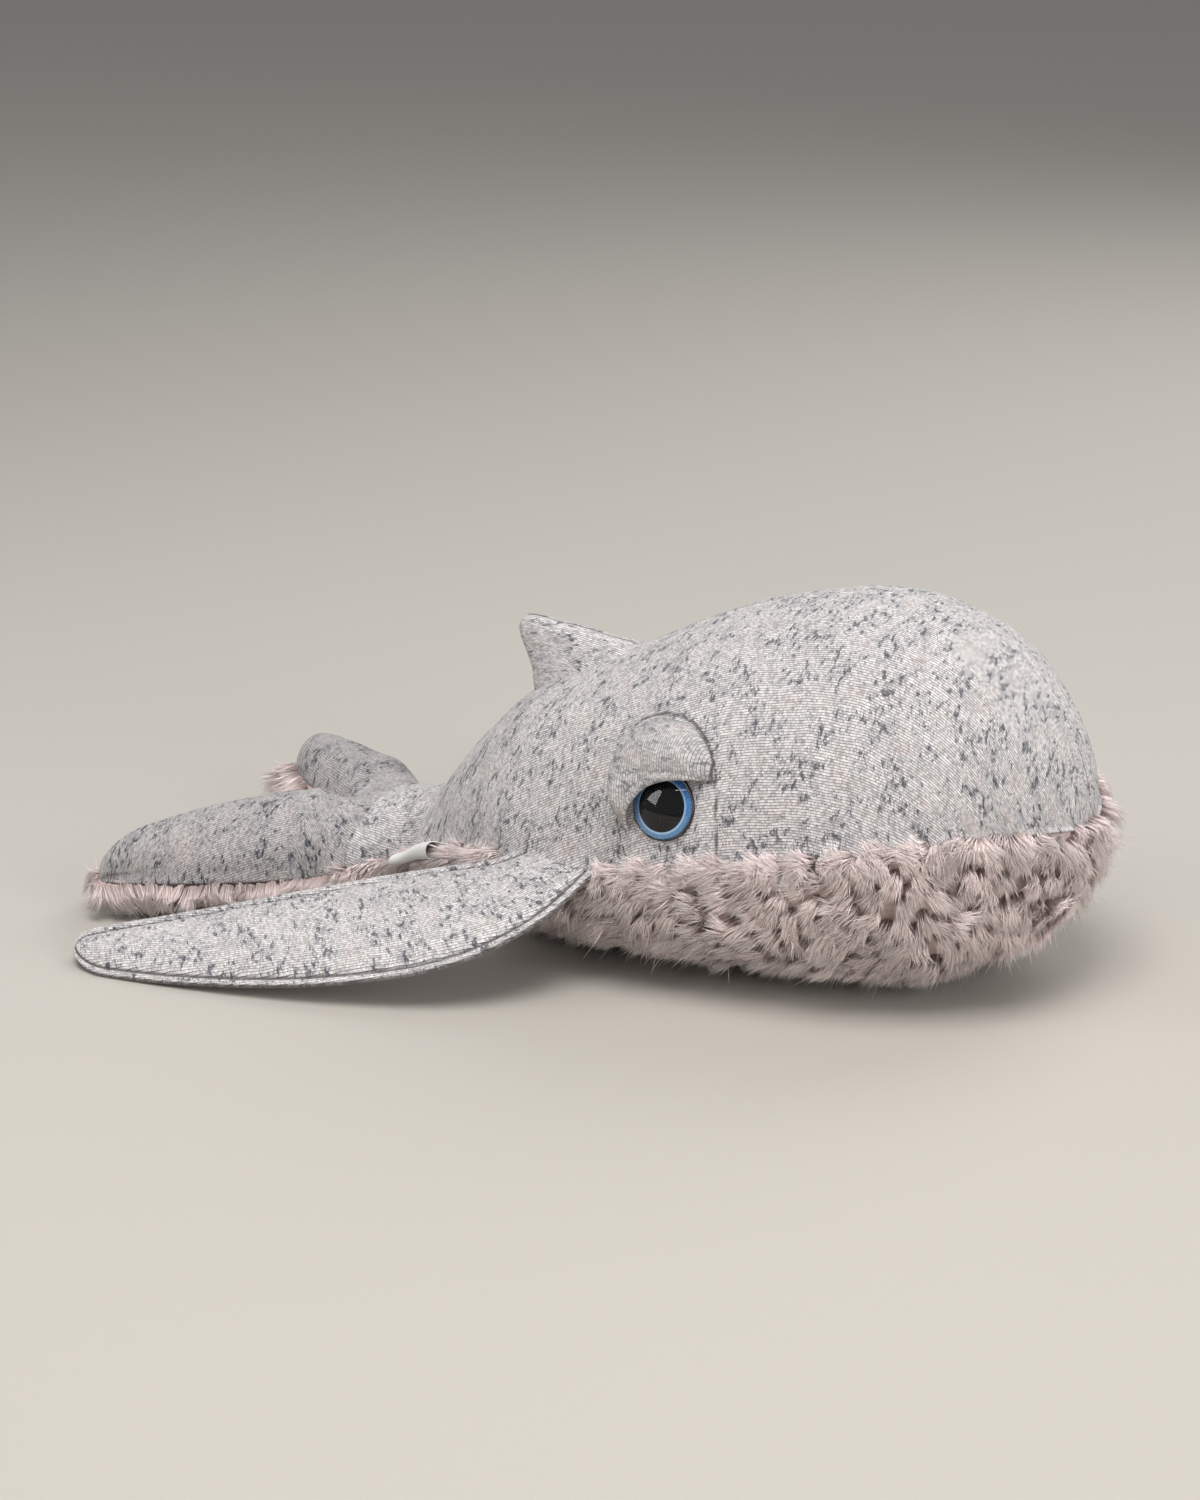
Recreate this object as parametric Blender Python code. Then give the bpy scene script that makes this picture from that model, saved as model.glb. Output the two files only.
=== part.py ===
"""Plush whale: stuffed knit back, faux fur belly, flippers, dorsal fin and forked tail.

+X runs to the nose, +Y to the whale's left and +Z up. The origin is the middle of the
flat patch of the belly, on the surface that the whale lies on. Sizes are in metres.
"""

import math

import bmesh
import bpy
import numpy as np
from mathutils import Matrix, Vector

# Fabrics and running gaps
KNIT = 0.0016  # thickness of the knit and of the fur's woven back
GAP = 0.0003  # between neighbouring pieces
PILE = 0.0115  # the fur's pile on the belly
TAIL_PILE = 0.0095  # the fur's pile under the tail
OVERRUN = 0.004  # how far a cutter runs past what it cuts

# Body
BODY_FRONT = 0.185  # from the origin to the nose
BODY_BACK = 0.176  # from the origin to the end of the body at the tail
BODY_HALF_WIDTH = 0.105
BACK_RISE = 0.1145  # from the side seam to the crown
BELLY_DROP = 0.0775  # from the side seam down to the fur's back
SEAM_HEIGHT = 0.098  # the side seam at its highest
CLIP_REACH = 0.4  # half the side of the blocks that trim pieces to a plane
STATION_SHARES = (
    0.0, 0.030, 0.071, 0.134, 0.195, 0.277, 0.364, 0.455, 0.551,
    0.647, 0.729, 0.811, 0.879, 0.934, 0.970, 0.990, 1.0,
)
WIDTH_SHARES = (
    0.314, 0.390, 0.505, 0.648, 0.762, 0.862, 0.929, 0.971, 0.995,
    1.0, 0.971, 0.886, 0.752, 0.576, 0.400, 0.232, 0.0,
)
RISE_SHARES = (
    0.288, 0.362, 0.467, 0.598, 0.703, 0.790, 0.878, 0.948, 0.991,
    1.0, 0.955, 0.848, 0.691, 0.515, 0.345, 0.183, 0.0,
)
DROP_SHARES = (
    0.239, 0.342, 0.445, 0.535, 0.587, 0.626, 0.665, 0.755, 0.845,
    0.916, 0.981, 1.0, 0.942, 0.774, 0.600, 0.374, 0.0,
)
SEAM_SHARES = (
    0.337, 0.393, 0.464, 0.536, 0.577, 0.607, 0.638, 0.709, 0.781,
    0.837, 0.898, 0.954, 0.995, 1.0, 0.985, 0.959, 0.939,
)
OVER_BODY = 16
UNDER_BODY = 14
BELLY_SQUARE = 0.8
PILE_SPREAD_SHARE = 0.5  # of the way round where the pile reaches its full depth
TIP_FALL_SHARE = 0.8

# Eyes
EYE_FORWARD = -0.004
EYE_HEIGHT = 0.1023
EYE_RADIUS = 0.0175
EYE_FLANGE = 0.0025
EYE_DOME_RISE = 0.007
EYE_EDGE = 0.0012  # upright edge of the dome
IRIS_RADIUS = 0.016
IRIS_THICKNESS = 0.0006
SHANK_RADIUS = 0.003
SHANK_LENGTH = 0.014
WASHER_RADIUS = 0.012
WASHER_THICKNESS = 0.0015
WASHER_DEPTH = 0.0034  # below the panel's face
POCKET_DEPTH = 0.017
PANEL_HALF_WIDTH = 0.034
PANEL_TOP = 0.044  # above the eye
PANEL_FOOT = 0.045  # below the eye
LID_HANG = 0.0098  # height of the free edge over the panel
LID_PUFF = 0.0085
LID_EDGE = 0.0022
PANEL_OUTLINE_SHARES = (
    (-0.42, -1.0), (-0.62, -0.62), (-0.88, -0.10), (-1.0, 0.30), (-0.93, 0.62),
    (-0.70, 0.88), (-0.30, 1.0), (0.12, 0.99), (0.45, 0.88), (0.68, 0.66),
    (0.80, 0.35), (0.90, -0.30), (1.0, -1.0),
)
LID_OUTER_SHARES = (
    (0.84, 0.44), (0.76, 0.60), (0.50, 0.84), (0.12, 0.97), (-0.28, 0.97),
    (-0.66, 0.85), (-0.90, 0.60), (-0.96, 0.30), (-0.86, 0.0), (-0.66, -0.30),
)
LID_INNER_SHARES = (
    (0.80, 0.43), (0.62, 0.47), (0.40, 0.49), (0.18, 0.45), (-0.05, 0.38),
    (-0.26, 0.26), (-0.40, 0.12), (-0.50, -0.04), (-0.55, -0.18), (-0.60, -0.32),
)
LID_FULL_SHARE = 0.6

# Label
LABEL_BACK = 0.160  # behind the origin
LABEL_WIDTH = 0.026
LABEL_DEPTH = 0.015
LABEL_RIBBON = 0.0007
LABEL_LOOP = 0.0045  # across the loop at its fold
LABEL_SWEEP = 0.008  # how far the loop trails backwards
LABEL_STAND = 0.0006
LABEL_DROOP = 0.001

# Dorsal fin
FIN_BACK = 0.098  # middle of its root, behind the origin
FIN_LENGTH = 0.056
FIN_RISE = 0.034
FIN_HALF_WIDTH = 0.0145
FIN_ROLL = 0.0105  # radius of the stuffing that it leans on
FIN_ROLL_HALF = 0.021
FIN_SLOPE = 27.0  # degrees
FIN_BELT = 0.0042  # height of the covers' edge over the lean axis
FIN_SINK = 0.001
FIN_STATION_SHARES = (0.0, 0.25, 0.5, 0.72, 0.88, 0.97, 1.0)
FIN_FRONT_SHARES = (0.50, 0.36, 0.16, -0.04, -0.17, -0.26, -0.31)
FIN_REAR_SHARES = (-0.50, -0.47, -0.46, -0.45, -0.43, -0.37, -0.31)
FIN_WIDTH_SHARES = (1.0, 0.86, 0.70, 0.56, 0.40, 0.22, 0.0)
FIN_NECK_SHARE = 0.52

# Flippers
FLIPPER_LENGTH = 0.257
FLIPPER_CHORD = 0.070
FLIPPER_PUFF = 0.0062
FLIPPER_RIM = 0.0055  # flat stitched rim
FLIPPER_ROOT_FORWARD = -0.043
FLIPPER_ROOT_STAND = 0.0023  # beyond the side seam
FLIPPER_ROOT_SINK = 0.0017  # below the side seam
FLIPPER_ROOT_LENGTH = 0.053
FLIPPER_TUCK = 0.0006  # how far the root runs past the flap axis
FLIPPER_ROOT_WALL_SHARE = 0.5
FLIPPER_CURL = 0.0145  # rise of the tip out of the flipper's plane
FLIPPER_ROOT_YAW = 13.5  # degrees that the root line runs inwards
FLIPPER_ROOT_FALL = 1.1  # degrees that it falls towards the tail
BLADE_TURN = {-1: 34.4, 1: 51.0}  # degrees from the root line to the blade's axis
FLIPPER_DROOP = {-1: 25.6, 1: 19.0}  # degrees that the blade falls outwards
FLIPPER_COLUMNS = 8
FLIPPER_START_SHARE = 0.371  # of the chord, from the pivot back to the blade's axis
FLIPPER_LEAST_SHARE = 0.15
LEAD_SHARES = (
    (0.0, 0.54), (0.11, 0.79), (0.25, 0.91), (0.40, 0.88), (0.55, 0.79),
    (0.70, 0.65), (0.83, 0.48), (0.93, 0.30), (0.985, 0.12), (1.0, 0.04),
)
TRAIL_SHARES = (
    (0.14, -0.21), (0.21, -0.24), (0.31, -0.27), (0.43, -0.28),
    (0.56, -0.27), (0.70, -0.25), (0.83, -0.23), (0.93, -0.20), (0.985, -0.14),
    (1.0, -0.06),
)
PUFF_SHARES = (0.0, 0.62, 0.86, 1.0, 1.0, 0.97, 0.90, 0.78, 0.62, 0.40, 0.28)

# Tail
NECK_BACK = 0.190  # the pivot, behind the origin
NECK_SINK = 0.003  # below the side seam where the body ends
NECK_RADIUS = 0.0265
NECK_PLAY = 0.0006  # radial gap to the hollows round the ball
NECK_BELT = 0.014  # from the pivot to the tail's end of the covers
TAIL_HALF_SPAN = 0.116
TAIL_SEAM = 0.024
TAIL_RISE = 0.031
TAIL_DROP = 0.0125
FLUKE_LENGTH = 0.120
FLUKE_CHORD = 0.055
FLUKE_RISE = 0.0305
FLUKE_DROP = 0.013
ROOT_BACK = 0.2387  # middle of the flukes' roots, behind the origin
ROOT_SIDE = 0.037
ROOT_HEIGHT = 0.0245
ROOT_BELT = 0.0065  # from the flap axis to the covers' edges
ROLL_RADIUS = 0.0185
ROLL_HALF = 0.0235
FORK_LENGTH = 0.052
FORK_WALL_CLEAR = 0.0005
FORK_STATION_SHARES = (0.0, 0.2, 0.45, 0.72, 1.0)
FORK_WIDTH_SHARES = (0.353, 0.440, 0.510, 0.540, 0.50)
FORK_RISE_SHARES = (1.0, 0.97, 0.92, 0.86, 0.80)
FLUKE_BEND = 0.006
FLUKE_DROOP = 0.004
FLUKE_STATION_SHARES = (0.0, 0.20, 0.42, 0.62, 0.78, 0.90, 0.97, 1.0)
FLUKE_CHORD_SHARES = (1.0, 0.92, 0.86, 0.81, 0.74, 0.60, 0.40, 0.0)
FLUKE_RISE_SHARES = (1.0, 1.02, 1.02, 0.99, 0.91, 0.75, 0.50, 0.0)
FLUKE_DROP_SHARES = (1.0, 0.98, 0.94, 0.88, 0.76, 0.56, 0.34, 0.0)

# Colours as linear RGB, with roughness
FINISHES = {
    "knit": ((0.52, 0.50, 0.49), 0.95),
    "fur": ((0.42, 0.36, 0.345), 0.95),
    "stuffing": ((0.85, 0.85, 0.84), 1.0),
    "eye_black": ((0.012, 0.012, 0.014), 0.25),
    "iris": ((0.06, 0.24, 0.60), 0.35),
    "clear": ((0.75, 0.82, 0.88), 0.05),
    "washer": ((0.75, 0.75, 0.72), 0.5),
    "ribbon": ((0.80, 0.79, 0.76), 0.8),
}
SIDES = {"right": -1, "left": 1}
SQUARE = ((-1, -1), (1, -1), (1, 1), (-1, 1))


# Building blocks


def clear_scene():
    for old in list(bpy.data.objects):
        bpy.data.objects.remove(old)


def finish(piece, kind):
    """Gives the piece a material of its own."""
    colour, roughness = FINISHES[kind]
    material = bpy.data.materials.new(piece.name)
    material.use_nodes = True
    shader = material.node_tree.nodes["Principled BSDF"]
    shader.inputs["Base Color"].default_value = (*colour, 1.0)
    shader.inputs["Roughness"].default_value = roughness
    shader.inputs["Metallic"].default_value = 0.0
    piece.data.materials.append(material)


def make(name, points, faces, kind=None, pivot=None):
    """A mesh object from points and faces, closed and facing out, with its origin at a pivot."""
    shape = bmesh.new()
    corners = [shape.verts.new(point) for point in points]
    for face in faces:
        shape.faces.new([corners[index] for index in face])
    bmesh.ops.remove_doubles(shape, verts=shape.verts, dist=GAP / 100)
    bmesh.ops.dissolve_degenerate(shape, edges=shape.edges, dist=GAP / 100)
    bmesh.ops.recalc_face_normals(shape, faces=shape.faces)
    mesh = bpy.data.meshes.new(name)
    shape.to_mesh(mesh)
    shape.free()
    mesh.shade_smooth()
    mesh.set_sharp_from_angle(angle=math.radians(40))
    piece = bpy.data.objects.new(name, mesh)
    bpy.context.scene.collection.objects.link(piece)
    if kind:
        finish(piece, kind)
    if pivot:
        mesh.transform(Matrix.Translation(-pivot.location))
        piece.parent = pivot
    return piece


def pivot_at(name, place):
    """An empty on a joint's axis, which carries the pieces that move about it."""
    empty = bpy.data.objects.new(name, None)
    empty.location = place
    bpy.context.scene.collection.objects.link(empty)
    return empty


def cutter(name, points, faces):
    tool = make(name, points, faces)
    tool.hide_render = True
    tool.display_type = "WIRE"
    return tool


def combine(piece, tool, operation):
    step = piece.modifiers.new(f"{operation.lower()} {tool.name}", "BOOLEAN")
    step.object = tool
    step.operation = operation
    step.solver = "EXACT"


def grid_faces(rows, columns, start=0, closed=False):
    """Two triangles for each cell of a grid of points, all with the same diagonal."""
    faces = []
    for row in range(rows - 1):
        for column in range(columns if closed else columns - 1):
            beside = (column + 1) % columns
            a = start + row * columns + column
            b = start + row * columns + beside
            c = b + columns
            d = a + columns
            faces += [(a, b, c), (a, c, d)]
    return faces


def sheet_solid(name, outer, inner, kind, pivot=None):
    """The closed solid between two grids of points with the same rows and columns."""
    rows, columns = outer.shape[:2]
    count = rows * columns
    points = np.concatenate([outer.reshape(-1, 3), inner.reshape(-1, 3)])
    faces = grid_faces(rows, columns)
    faces += [face[::-1] for face in grid_faces(rows, columns, count)]
    rim = [row * columns for row in range(rows)]
    rim += [(rows - 1) * columns + column for column in range(1, columns)]
    rim += [row * columns + columns - 1 for row in range(rows - 2, -1, -1)]
    rim += [column for column in range(columns - 2, 0, -1)]
    for here, after in zip(rim, rim[1:] + rim[:1]):
        faces += [(here, after, after + count), (here, after + count, here + count)]
    return make(name, points, faces, kind, pivot)


def round_solid(name, rings, kind=None, pivot=None, tool=False):
    """The closed solid round a stack of rings, with a point in the middle of each end."""
    rows, columns = rings.shape[:2]
    ends = [rings[0].mean(axis=0), rings[-1].mean(axis=0)]
    points = np.concatenate([rings.reshape(-1, 3), ends])
    faces = grid_faces(rows, columns, closed=True)
    for column in range(columns):
        beside = (column + 1) % columns
        last = (rows - 1) * columns
        faces.append((rows * columns, beside, column))
        faces.append((rows * columns + 1, last + column, last + beside))
    if tool:
        return cutter(name, points, faces)
    return make(name, points, faces, kind, pivot)


def turned(name, profile, frame, kind=None, segments=24, pivot=None, tool=False):
    """A profile of (radius, height) points turned about the third axis of a frame."""
    angles = np.linspace(0, 2 * math.pi, segments, endpoint=False)
    circle = np.stack([np.cos(angles), np.sin(angles), 0 * angles], axis=1)
    rise = np.array((0.0, 0.0, 1.0))
    rings = np.array([radius * circle + height * rise for radius, height in profile])
    turn = np.array(frame.to_3x3())
    rings = rings @ turn.T + np.array(frame.translation)
    return round_solid(name, rings, kind, pivot, tool)


def frame_at(place, along):
    """A frame at a place whose third axis runs along a direction."""
    third = Vector(along).normalized()
    hint = Vector((1.0, 0.0, 0.0)) if abs(third.z) > abs(third.x) else Vector((0.0, 0.0, 1.0))
    second = third.cross(hint).normalized()
    first = second.cross(third)
    axes = Matrix((first, second, third)).transposed()
    return Matrix.Translation(place) @ axes.to_4x4()


def spindle(name, place, along, half_length, radius, tool=True, kind=None):
    """An ellipsoid turned about an axis: the shape that a piece can flap round."""
    steps = np.radians(np.linspace(0, 180, 12))
    profile = list(zip(radius * np.sin(steps), half_length * np.cos(steps)))
    frame = frame_at(place, along)
    return turned(name, profile, frame, kind, segments=20, tool=tool)


def half_space(name, place, along):
    """A block that covers all that lies past a plane, in the direction given."""
    frame = frame_at(place, along)
    corners = [Vector((x, y, z)) * CLIP_REACH for z in (0, 1) for x, y in SQUARE]
    points = [frame @ corner for corner in corners]
    faces = [(3, 2, 1, 0), (4, 5, 6, 7)]
    faces += [(i, (i + 1) % 4, (i + 1) % 4 + 4, i + 4) for i in range(4)]
    return cutter(name, points, faces)


def stuffed_form(side_a, side_b, rise, drop, up, over, under, square=1.0):
    """Rings of a stuffed shape and their outward directions.

    Each ring goes from edge a over the top to edge b in `over` steps and back
    underneath in `under` steps. A `square` below 1 makes the underside boxier.
    """
    centre = (side_a + side_b) / 2
    reach = side_a - centre
    above = np.linspace(0, math.pi, over + 1)
    below = np.linspace(math.pi, 2 * math.pi, under + 1)[1:-1]
    angles = np.concatenate([above, below])
    across, height = np.cos(angles), np.sin(angles)
    low = np.arange(len(angles)) > over
    across[low] = np.sign(across[low]) * np.abs(across[low]) ** square
    height[low] = -np.abs(height[low]) ** square
    height[[0, over]] = 0.0
    lift = np.where(height >= 0, rise[:, None] * height, drop[:, None] * height)
    rings = centre[:, None] + reach[:, None] * across[None, :, None]
    rings = rings + lift[..., None] * np.asarray(up)
    along = np.gradient(rings, axis=0)
    around = np.roll(rings, -1, axis=1) - np.roll(rings, 1, axis=1)
    out = np.cross(along, around)
    facing = (out * (rings - centre[:, None])).sum(axis=2, keepdims=True)
    out *= np.where(facing < 0, -1.0, 1.0)
    size = np.linalg.norm(out, axis=2, keepdims=True)
    out /= np.where(size > 0, size, 1.0)
    if np.linalg.norm(reach[-1]) < GAP:
        tip = centre[-1] - centre[-2]
        out[-1] = tip / np.linalg.norm(tip)
    return rings, out


def pile_over(under, depth):
    """The pile's depth at each step underneath: none at the seams, all of it inside."""
    steps = np.linspace(0, math.pi, under + 1)
    share = np.clip(np.sin(steps) / PILE_SPREAD_SHARE, 0, 1)
    return depth * share**2 * (3 - 2 * share)


def panel(name, form, columns, outer_depth, kind, shifts, pivot=None):
    """One sewn panel: some columns of a form, with its edges drawn in by their shifts."""
    rings, out = form
    outer = rings[:, columns] + out[:, columns] * np.reshape(outer_depth, (1, -1, 1))
    inner = rings[:, columns] - out[:, columns] * KNIT
    pointed = np.ptp(rings[-1], axis=0).max() < GAP
    inwards = np.mean(shifts, axis=0)
    pile = np.max(outer_depth)
    for face, depth in ((outer, pile), (inner, 0.0)):
        fall = (depth + KNIT) * TIP_FALL_SHARE if pile else 0.0
        tip = face[-1, len(columns) // 2] + inwards * (1 + fall / GAP)
        for column, shift in zip((0, -1), shifts):
            face[:, column] += shift
        if pointed:
            face[-1] = tip
    return sheet_solid(name, outer, inner, kind, pivot)


# Body


def body_sizes(forward):
    """Half width, rise over the seam and height of the seam at a place along the body."""
    share = (forward + BODY_BACK) / (BODY_FRONT + BODY_BACK)
    width = math.sqrt(np.interp(share, STATION_SHARES, np.square(WIDTH_SHARES)))
    rise = math.sqrt(np.interp(share, STATION_SHARES, np.square(RISE_SHARES)))
    seam = float(np.interp(share, STATION_SHARES, SEAM_SHARES))
    return BODY_HALF_WIDTH * width, BACK_RISE * rise, SEAM_HEIGHT * seam


def side_point(forward, height, depth=0.0, side=-1):
    """A point over the knit's face, straight out from where it lies on the side."""
    step = GAP

    def on_face(x, z):
        width, rise, seam = body_sizes(x)
        up = min(max((z - seam) / rise, 0.0), 1.0)
        return Vector((x, side * width * math.sqrt(1 - up * up), z))

    here = on_face(forward, height)
    ahead = on_face(forward + step, height) - here
    above = on_face(forward, height + step) - here
    out = ahead.cross(above).normalized() * -side
    if out.y * side < 0:
        out = -out
    return here + out * depth, out


def make_body():
    """Two knit back panels, the fur belly and the stuffing inside them."""
    forward = np.array(STATION_SHARES) * (BODY_FRONT + BODY_BACK) - BODY_BACK
    width = np.array(WIDTH_SHARES) * BODY_HALF_WIDTH
    seam = np.array(SEAM_SHARES) * SEAM_HEIGHT
    right = np.stack([forward, -width, seam], axis=1)
    left = np.stack([forward, width, seam], axis=1)
    rise = np.array(RISE_SHARES) * BACK_RISE
    drop = np.array(DROP_SHARES) * BELLY_DROP
    up = (0.0, 0.0, 1.0)
    form = stuffed_form(right, left, rise, drop, up, OVER_BODY, UNDER_BODY, BELLY_SQUARE)
    half = OVER_BODY // 2
    raise_edge = np.array((0.0, 0.0, GAP / 2))
    aside = np.array((0.0, GAP / 2, 0.0))
    columns = list(range(half + 1))
    shifts = (raise_edge - aside, -aside)
    panels = [panel("right_back_panel", form, columns, 0.0, "knit", shifts)]
    columns = list(range(half, OVER_BODY + 1))
    shifts = (aside, raise_edge + aside)
    panels.append(panel("left_back_panel", form, columns, 0.0, "knit", shifts))
    columns = [*range(OVER_BODY, OVER_BODY + UNDER_BODY), 0]
    pile = pile_over(UNDER_BODY, PILE)
    fur = panel("belly_fur_panel", form, columns, pile, "fur", (-raise_edge,) * 2)
    rings, out = form
    stuffing = round_solid("body_stuffing", rings - out * (KNIT + GAP), "stuffing")
    floor = half_space("floor_cut", (0.0, 0.0, 0.0), (0.0, 0.0, -1.0))
    combine(fur, floor, "DIFFERENCE")
    neck_hollow = spindle(
        "neck_hollow_body", neck_pivot_place(), (0.0, 1.0, 0.0),
        NECK_RADIUS + NECK_PLAY, NECK_RADIUS + NECK_PLAY,
    )
    combine(fur, neck_hollow, "DIFFERENCE")
    combine(stuffing, neck_hollow, "DIFFERENCE")
    return panels, fur, stuffing


def neck_pivot_place():
    return Vector((-NECK_BACK, 0.0, SEAM_HEIGHT * SEAM_SHARES[0] - NECK_SINK))


# Eyes, from the outline of their panels to the washers inside


def panel_spot(share):
    """Turns shares of the eye panel into a place along and up the side."""
    across, up = share
    height = PANEL_TOP if up > 0 else PANEL_FOOT
    return EYE_FORWARD + across * PANEL_HALF_WIDTH, EYE_HEIGHT + up * height


def panel_prism(name, side, grow):
    """A block with the panel's outline that runs straight out through the side."""
    middle = Vector((EYE_FORWARD, 0.0, EYE_HEIGHT))
    spots = []
    for share in PANEL_OUTLINE_SHARES:
        x, z = panel_spot(share)
        spot = Vector((x, 0.0, z))
        spots.append(spot + (spot - middle).normalized() * grow)
    inside = BODY_HALF_WIDTH / 2
    outside = BODY_HALF_WIDTH + PILE
    points = [spot + Vector((0.0, side * inside, 0.0)) for spot in spots]
    points += [spot + Vector((0.0, side * outside, 0.0)) for spot in spots]
    count = len(spots)
    faces = [tuple(range(count)), tuple(range(2 * count - 1, count - 1, -1))]
    faces += [(i, (i + 1) % count, (i + 1) % count + count, i + count) for i in range(count)]
    return cutter(name, points, faces)


def make_eye(side_name, back_panel, stuffing):
    """A panel, a padded lid and a safety eye clamped by its washer."""
    side = SIDES[side_name]
    eye_panel = back_panel.copy()
    eye_panel.data = back_panel.data.copy()
    eye_panel.name = f"{side_name}_eye_panel"
    eye_panel.data.materials.clear()
    finish(eye_panel, "knit")
    bpy.context.scene.collection.objects.link(eye_panel)
    combine(eye_panel, panel_prism(f"{side_name}_panel_keep", side, -GAP / 2), "INTERSECT")
    combine(back_panel, panel_prism(f"{side_name}_panel_hole", side, GAP / 2), "DIFFERENCE")
    seat, out = side_point(EYE_FORWARD, EYE_HEIGHT, GAP, side)
    frame = frame_at(seat, out)
    recess = EYE_FLANGE - IRIS_THICKNESS - GAP
    recess_radius = IRIS_RADIUS + GAP
    cup = (
        (0.0, recess), (recess_radius, recess), (recess_radius, EYE_FLANGE),
        (EYE_RADIUS, EYE_FLANGE), (EYE_RADIUS, 0.0), (SHANK_RADIUS, 0.0),
        (SHANK_RADIUS, -SHANK_LENGTH), (0.0, -SHANK_LENGTH),
    )
    turned(f"{side_name}_eye_cup", cup, frame, "eye_black")
    floor = recess + GAP
    disc = (
        (0.0, floor + IRIS_THICKNESS), (IRIS_RADIUS, floor + IRIS_THICKNESS),
        (IRIS_RADIUS, floor), (0.0, floor),
    )
    turned(f"{side_name}_iris_disc", disc, frame, "iris")
    base = EYE_FLANGE + GAP
    steps = np.radians(np.linspace(90, 0, 6))
    rise = EYE_DOME_RISE - EYE_EDGE
    dome = [
        (EYE_RADIUS * math.cos(step), base + EYE_EDGE + rise * math.sin(step))
        for step in steps
    ]
    dome += [(EYE_RADIUS, base), (0.0, base)]
    turned(f"{side_name}_eye_lens", dome, frame, "clear")
    hole = SHANK_RADIUS + GAP
    top, bottom = -WASHER_DEPTH, -WASHER_DEPTH - WASHER_THICKNESS
    ring = ((hole, top), (WASHER_RADIUS, top), (WASHER_RADIUS, bottom), (hole, bottom))
    washer_ring(f"{side_name}_eye_washer", ring, frame)
    shaft = ((0.0, OVERRUN), (hole, OVERRUN), (hole, -OVERRUN), (0.0, -OVERRUN))
    combine(eye_panel, turned(f"{side_name}_shank_hole", shaft, frame, tool=True), "DIFFERENCE")
    pocket_radius = WASHER_RADIUS + GAP
    pocket = (
        (0.0, OVERRUN), (pocket_radius, OVERRUN),
        (pocket_radius, -POCKET_DEPTH), (0.0, -POCKET_DEPTH),
    )
    combine(stuffing, turned(f"{side_name}_eye_pocket", pocket, frame, tool=True), "DIFFERENCE")
    make_lid(side_name)


def washer_ring(name, profile, frame, segments=24):
    """A closed profile that doesn't reach the axis, turned into a ring."""
    angles = np.linspace(0, 2 * math.pi, segments, endpoint=False)
    turn = np.array(frame.to_3x3())
    rows = []
    for radius, height in (*profile, profile[0]):
        x, y = radius * np.cos(angles), radius * np.sin(angles)
        rows.append(np.stack([x, y, 0 * x + height], axis=1))
    rings = np.array(rows) @ turn.T + np.array(frame.translation)
    faces = grid_faces(len(rows), segments, closed=True)
    return make(name, rings.reshape(-1, 3), faces, "washer")


def make_lid(side_name):
    """A padded half moon, sewn round its outer edge and free where it overhangs the eye."""
    side = SIDES[side_name]
    steps = np.linspace(0, 1, 7)
    outer, inner = [], []
    for start, end in zip(LID_OUTER_SHARES, LID_INNER_SHARES):
        outer_row, inner_row = [], []
        span = math.dist(panel_spot(start), panel_spot(end)) / PANEL_HALF_WIDTH
        full = min(1.0, span / LID_FULL_SHARE)
        for step in steps:
            share = [a + (b - a) * step for a, b in zip(start, end)]
            hang = GAP + LID_HANG * step**0.9 * full
            puff = LID_EDGE + LID_PUFF * full * math.sin(math.pi * min(step, 0.93)) ** 0.7
            x, z = panel_spot(share)
            inner_row.append(side_point(x, z, hang, side)[0])
            outer_row.append(side_point(x, z, hang + puff, side)[0])
        outer.append(outer_row)
        inner.append(inner_row)
    return sheet_solid(f"{side_name}_eyelid", np.array(outer), np.array(inner), "knit")


# Label: a bare loop of ribbon, caught in the side seam near the tail


def make_label():
    """A strip folded into a loop; its two ends are caught in the right side seam."""
    bend = np.radians(np.linspace(-90, 90, 7))
    radius = LABEL_LOOP / 2
    run = LABEL_DEPTH - radius
    outline = [(0.0, -radius)]
    outline += [(run + radius * math.cos(turn), radius * math.sin(turn)) for turn in bend]
    outline.append((0.0, radius))
    inside = radius - LABEL_RIBBON
    inner = [(0.0, inside)]
    inner += [(run + inside * math.cos(turn), inside * math.sin(turn)) for turn in bend[::-1]]
    inner.append((0.0, -inside))
    rows = []
    for end in (-1, 1):
        along = -LABEL_BACK + end * LABEL_WIDTH / 2
        width, _, seam = body_sizes(along)
        root = Vector((along, -width - LABEL_STAND, seam + LABEL_LOOP / 2))
        out = Vector((-LABEL_SWEEP, -LABEL_DEPTH, -LABEL_DROOP)).normalized()
        across = Vector((0.0, -out.z, out.y)).normalized() * -1
        rows.append([root + out * u + across * v for u, v in (*outline, *inner)])
    points = [*rows[0], *rows[1]]
    count = len(rows[0])
    faces = [(i, (i + 1) % count, (i + 1) % count + count, i + count) for i in range(count)]
    half = len(outline)
    for base in (0, count):
        for i in range(half - 1):
            quad = (base + i, base + i + 1, base + count - 2 - i, base + count - 1 - i)
            faces.append(quad if base else quad[::-1])
    return make("label_loop", points, faces, "ribbon")


# Dorsal fin


def fin_place():
    """Middle of the fin's lean axis, on the crest of the back."""
    _, rise, seam = body_sizes(-FIN_BACK)
    return Vector((-FIN_BACK, 0.0, seam + rise + FIN_SINK))


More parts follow.
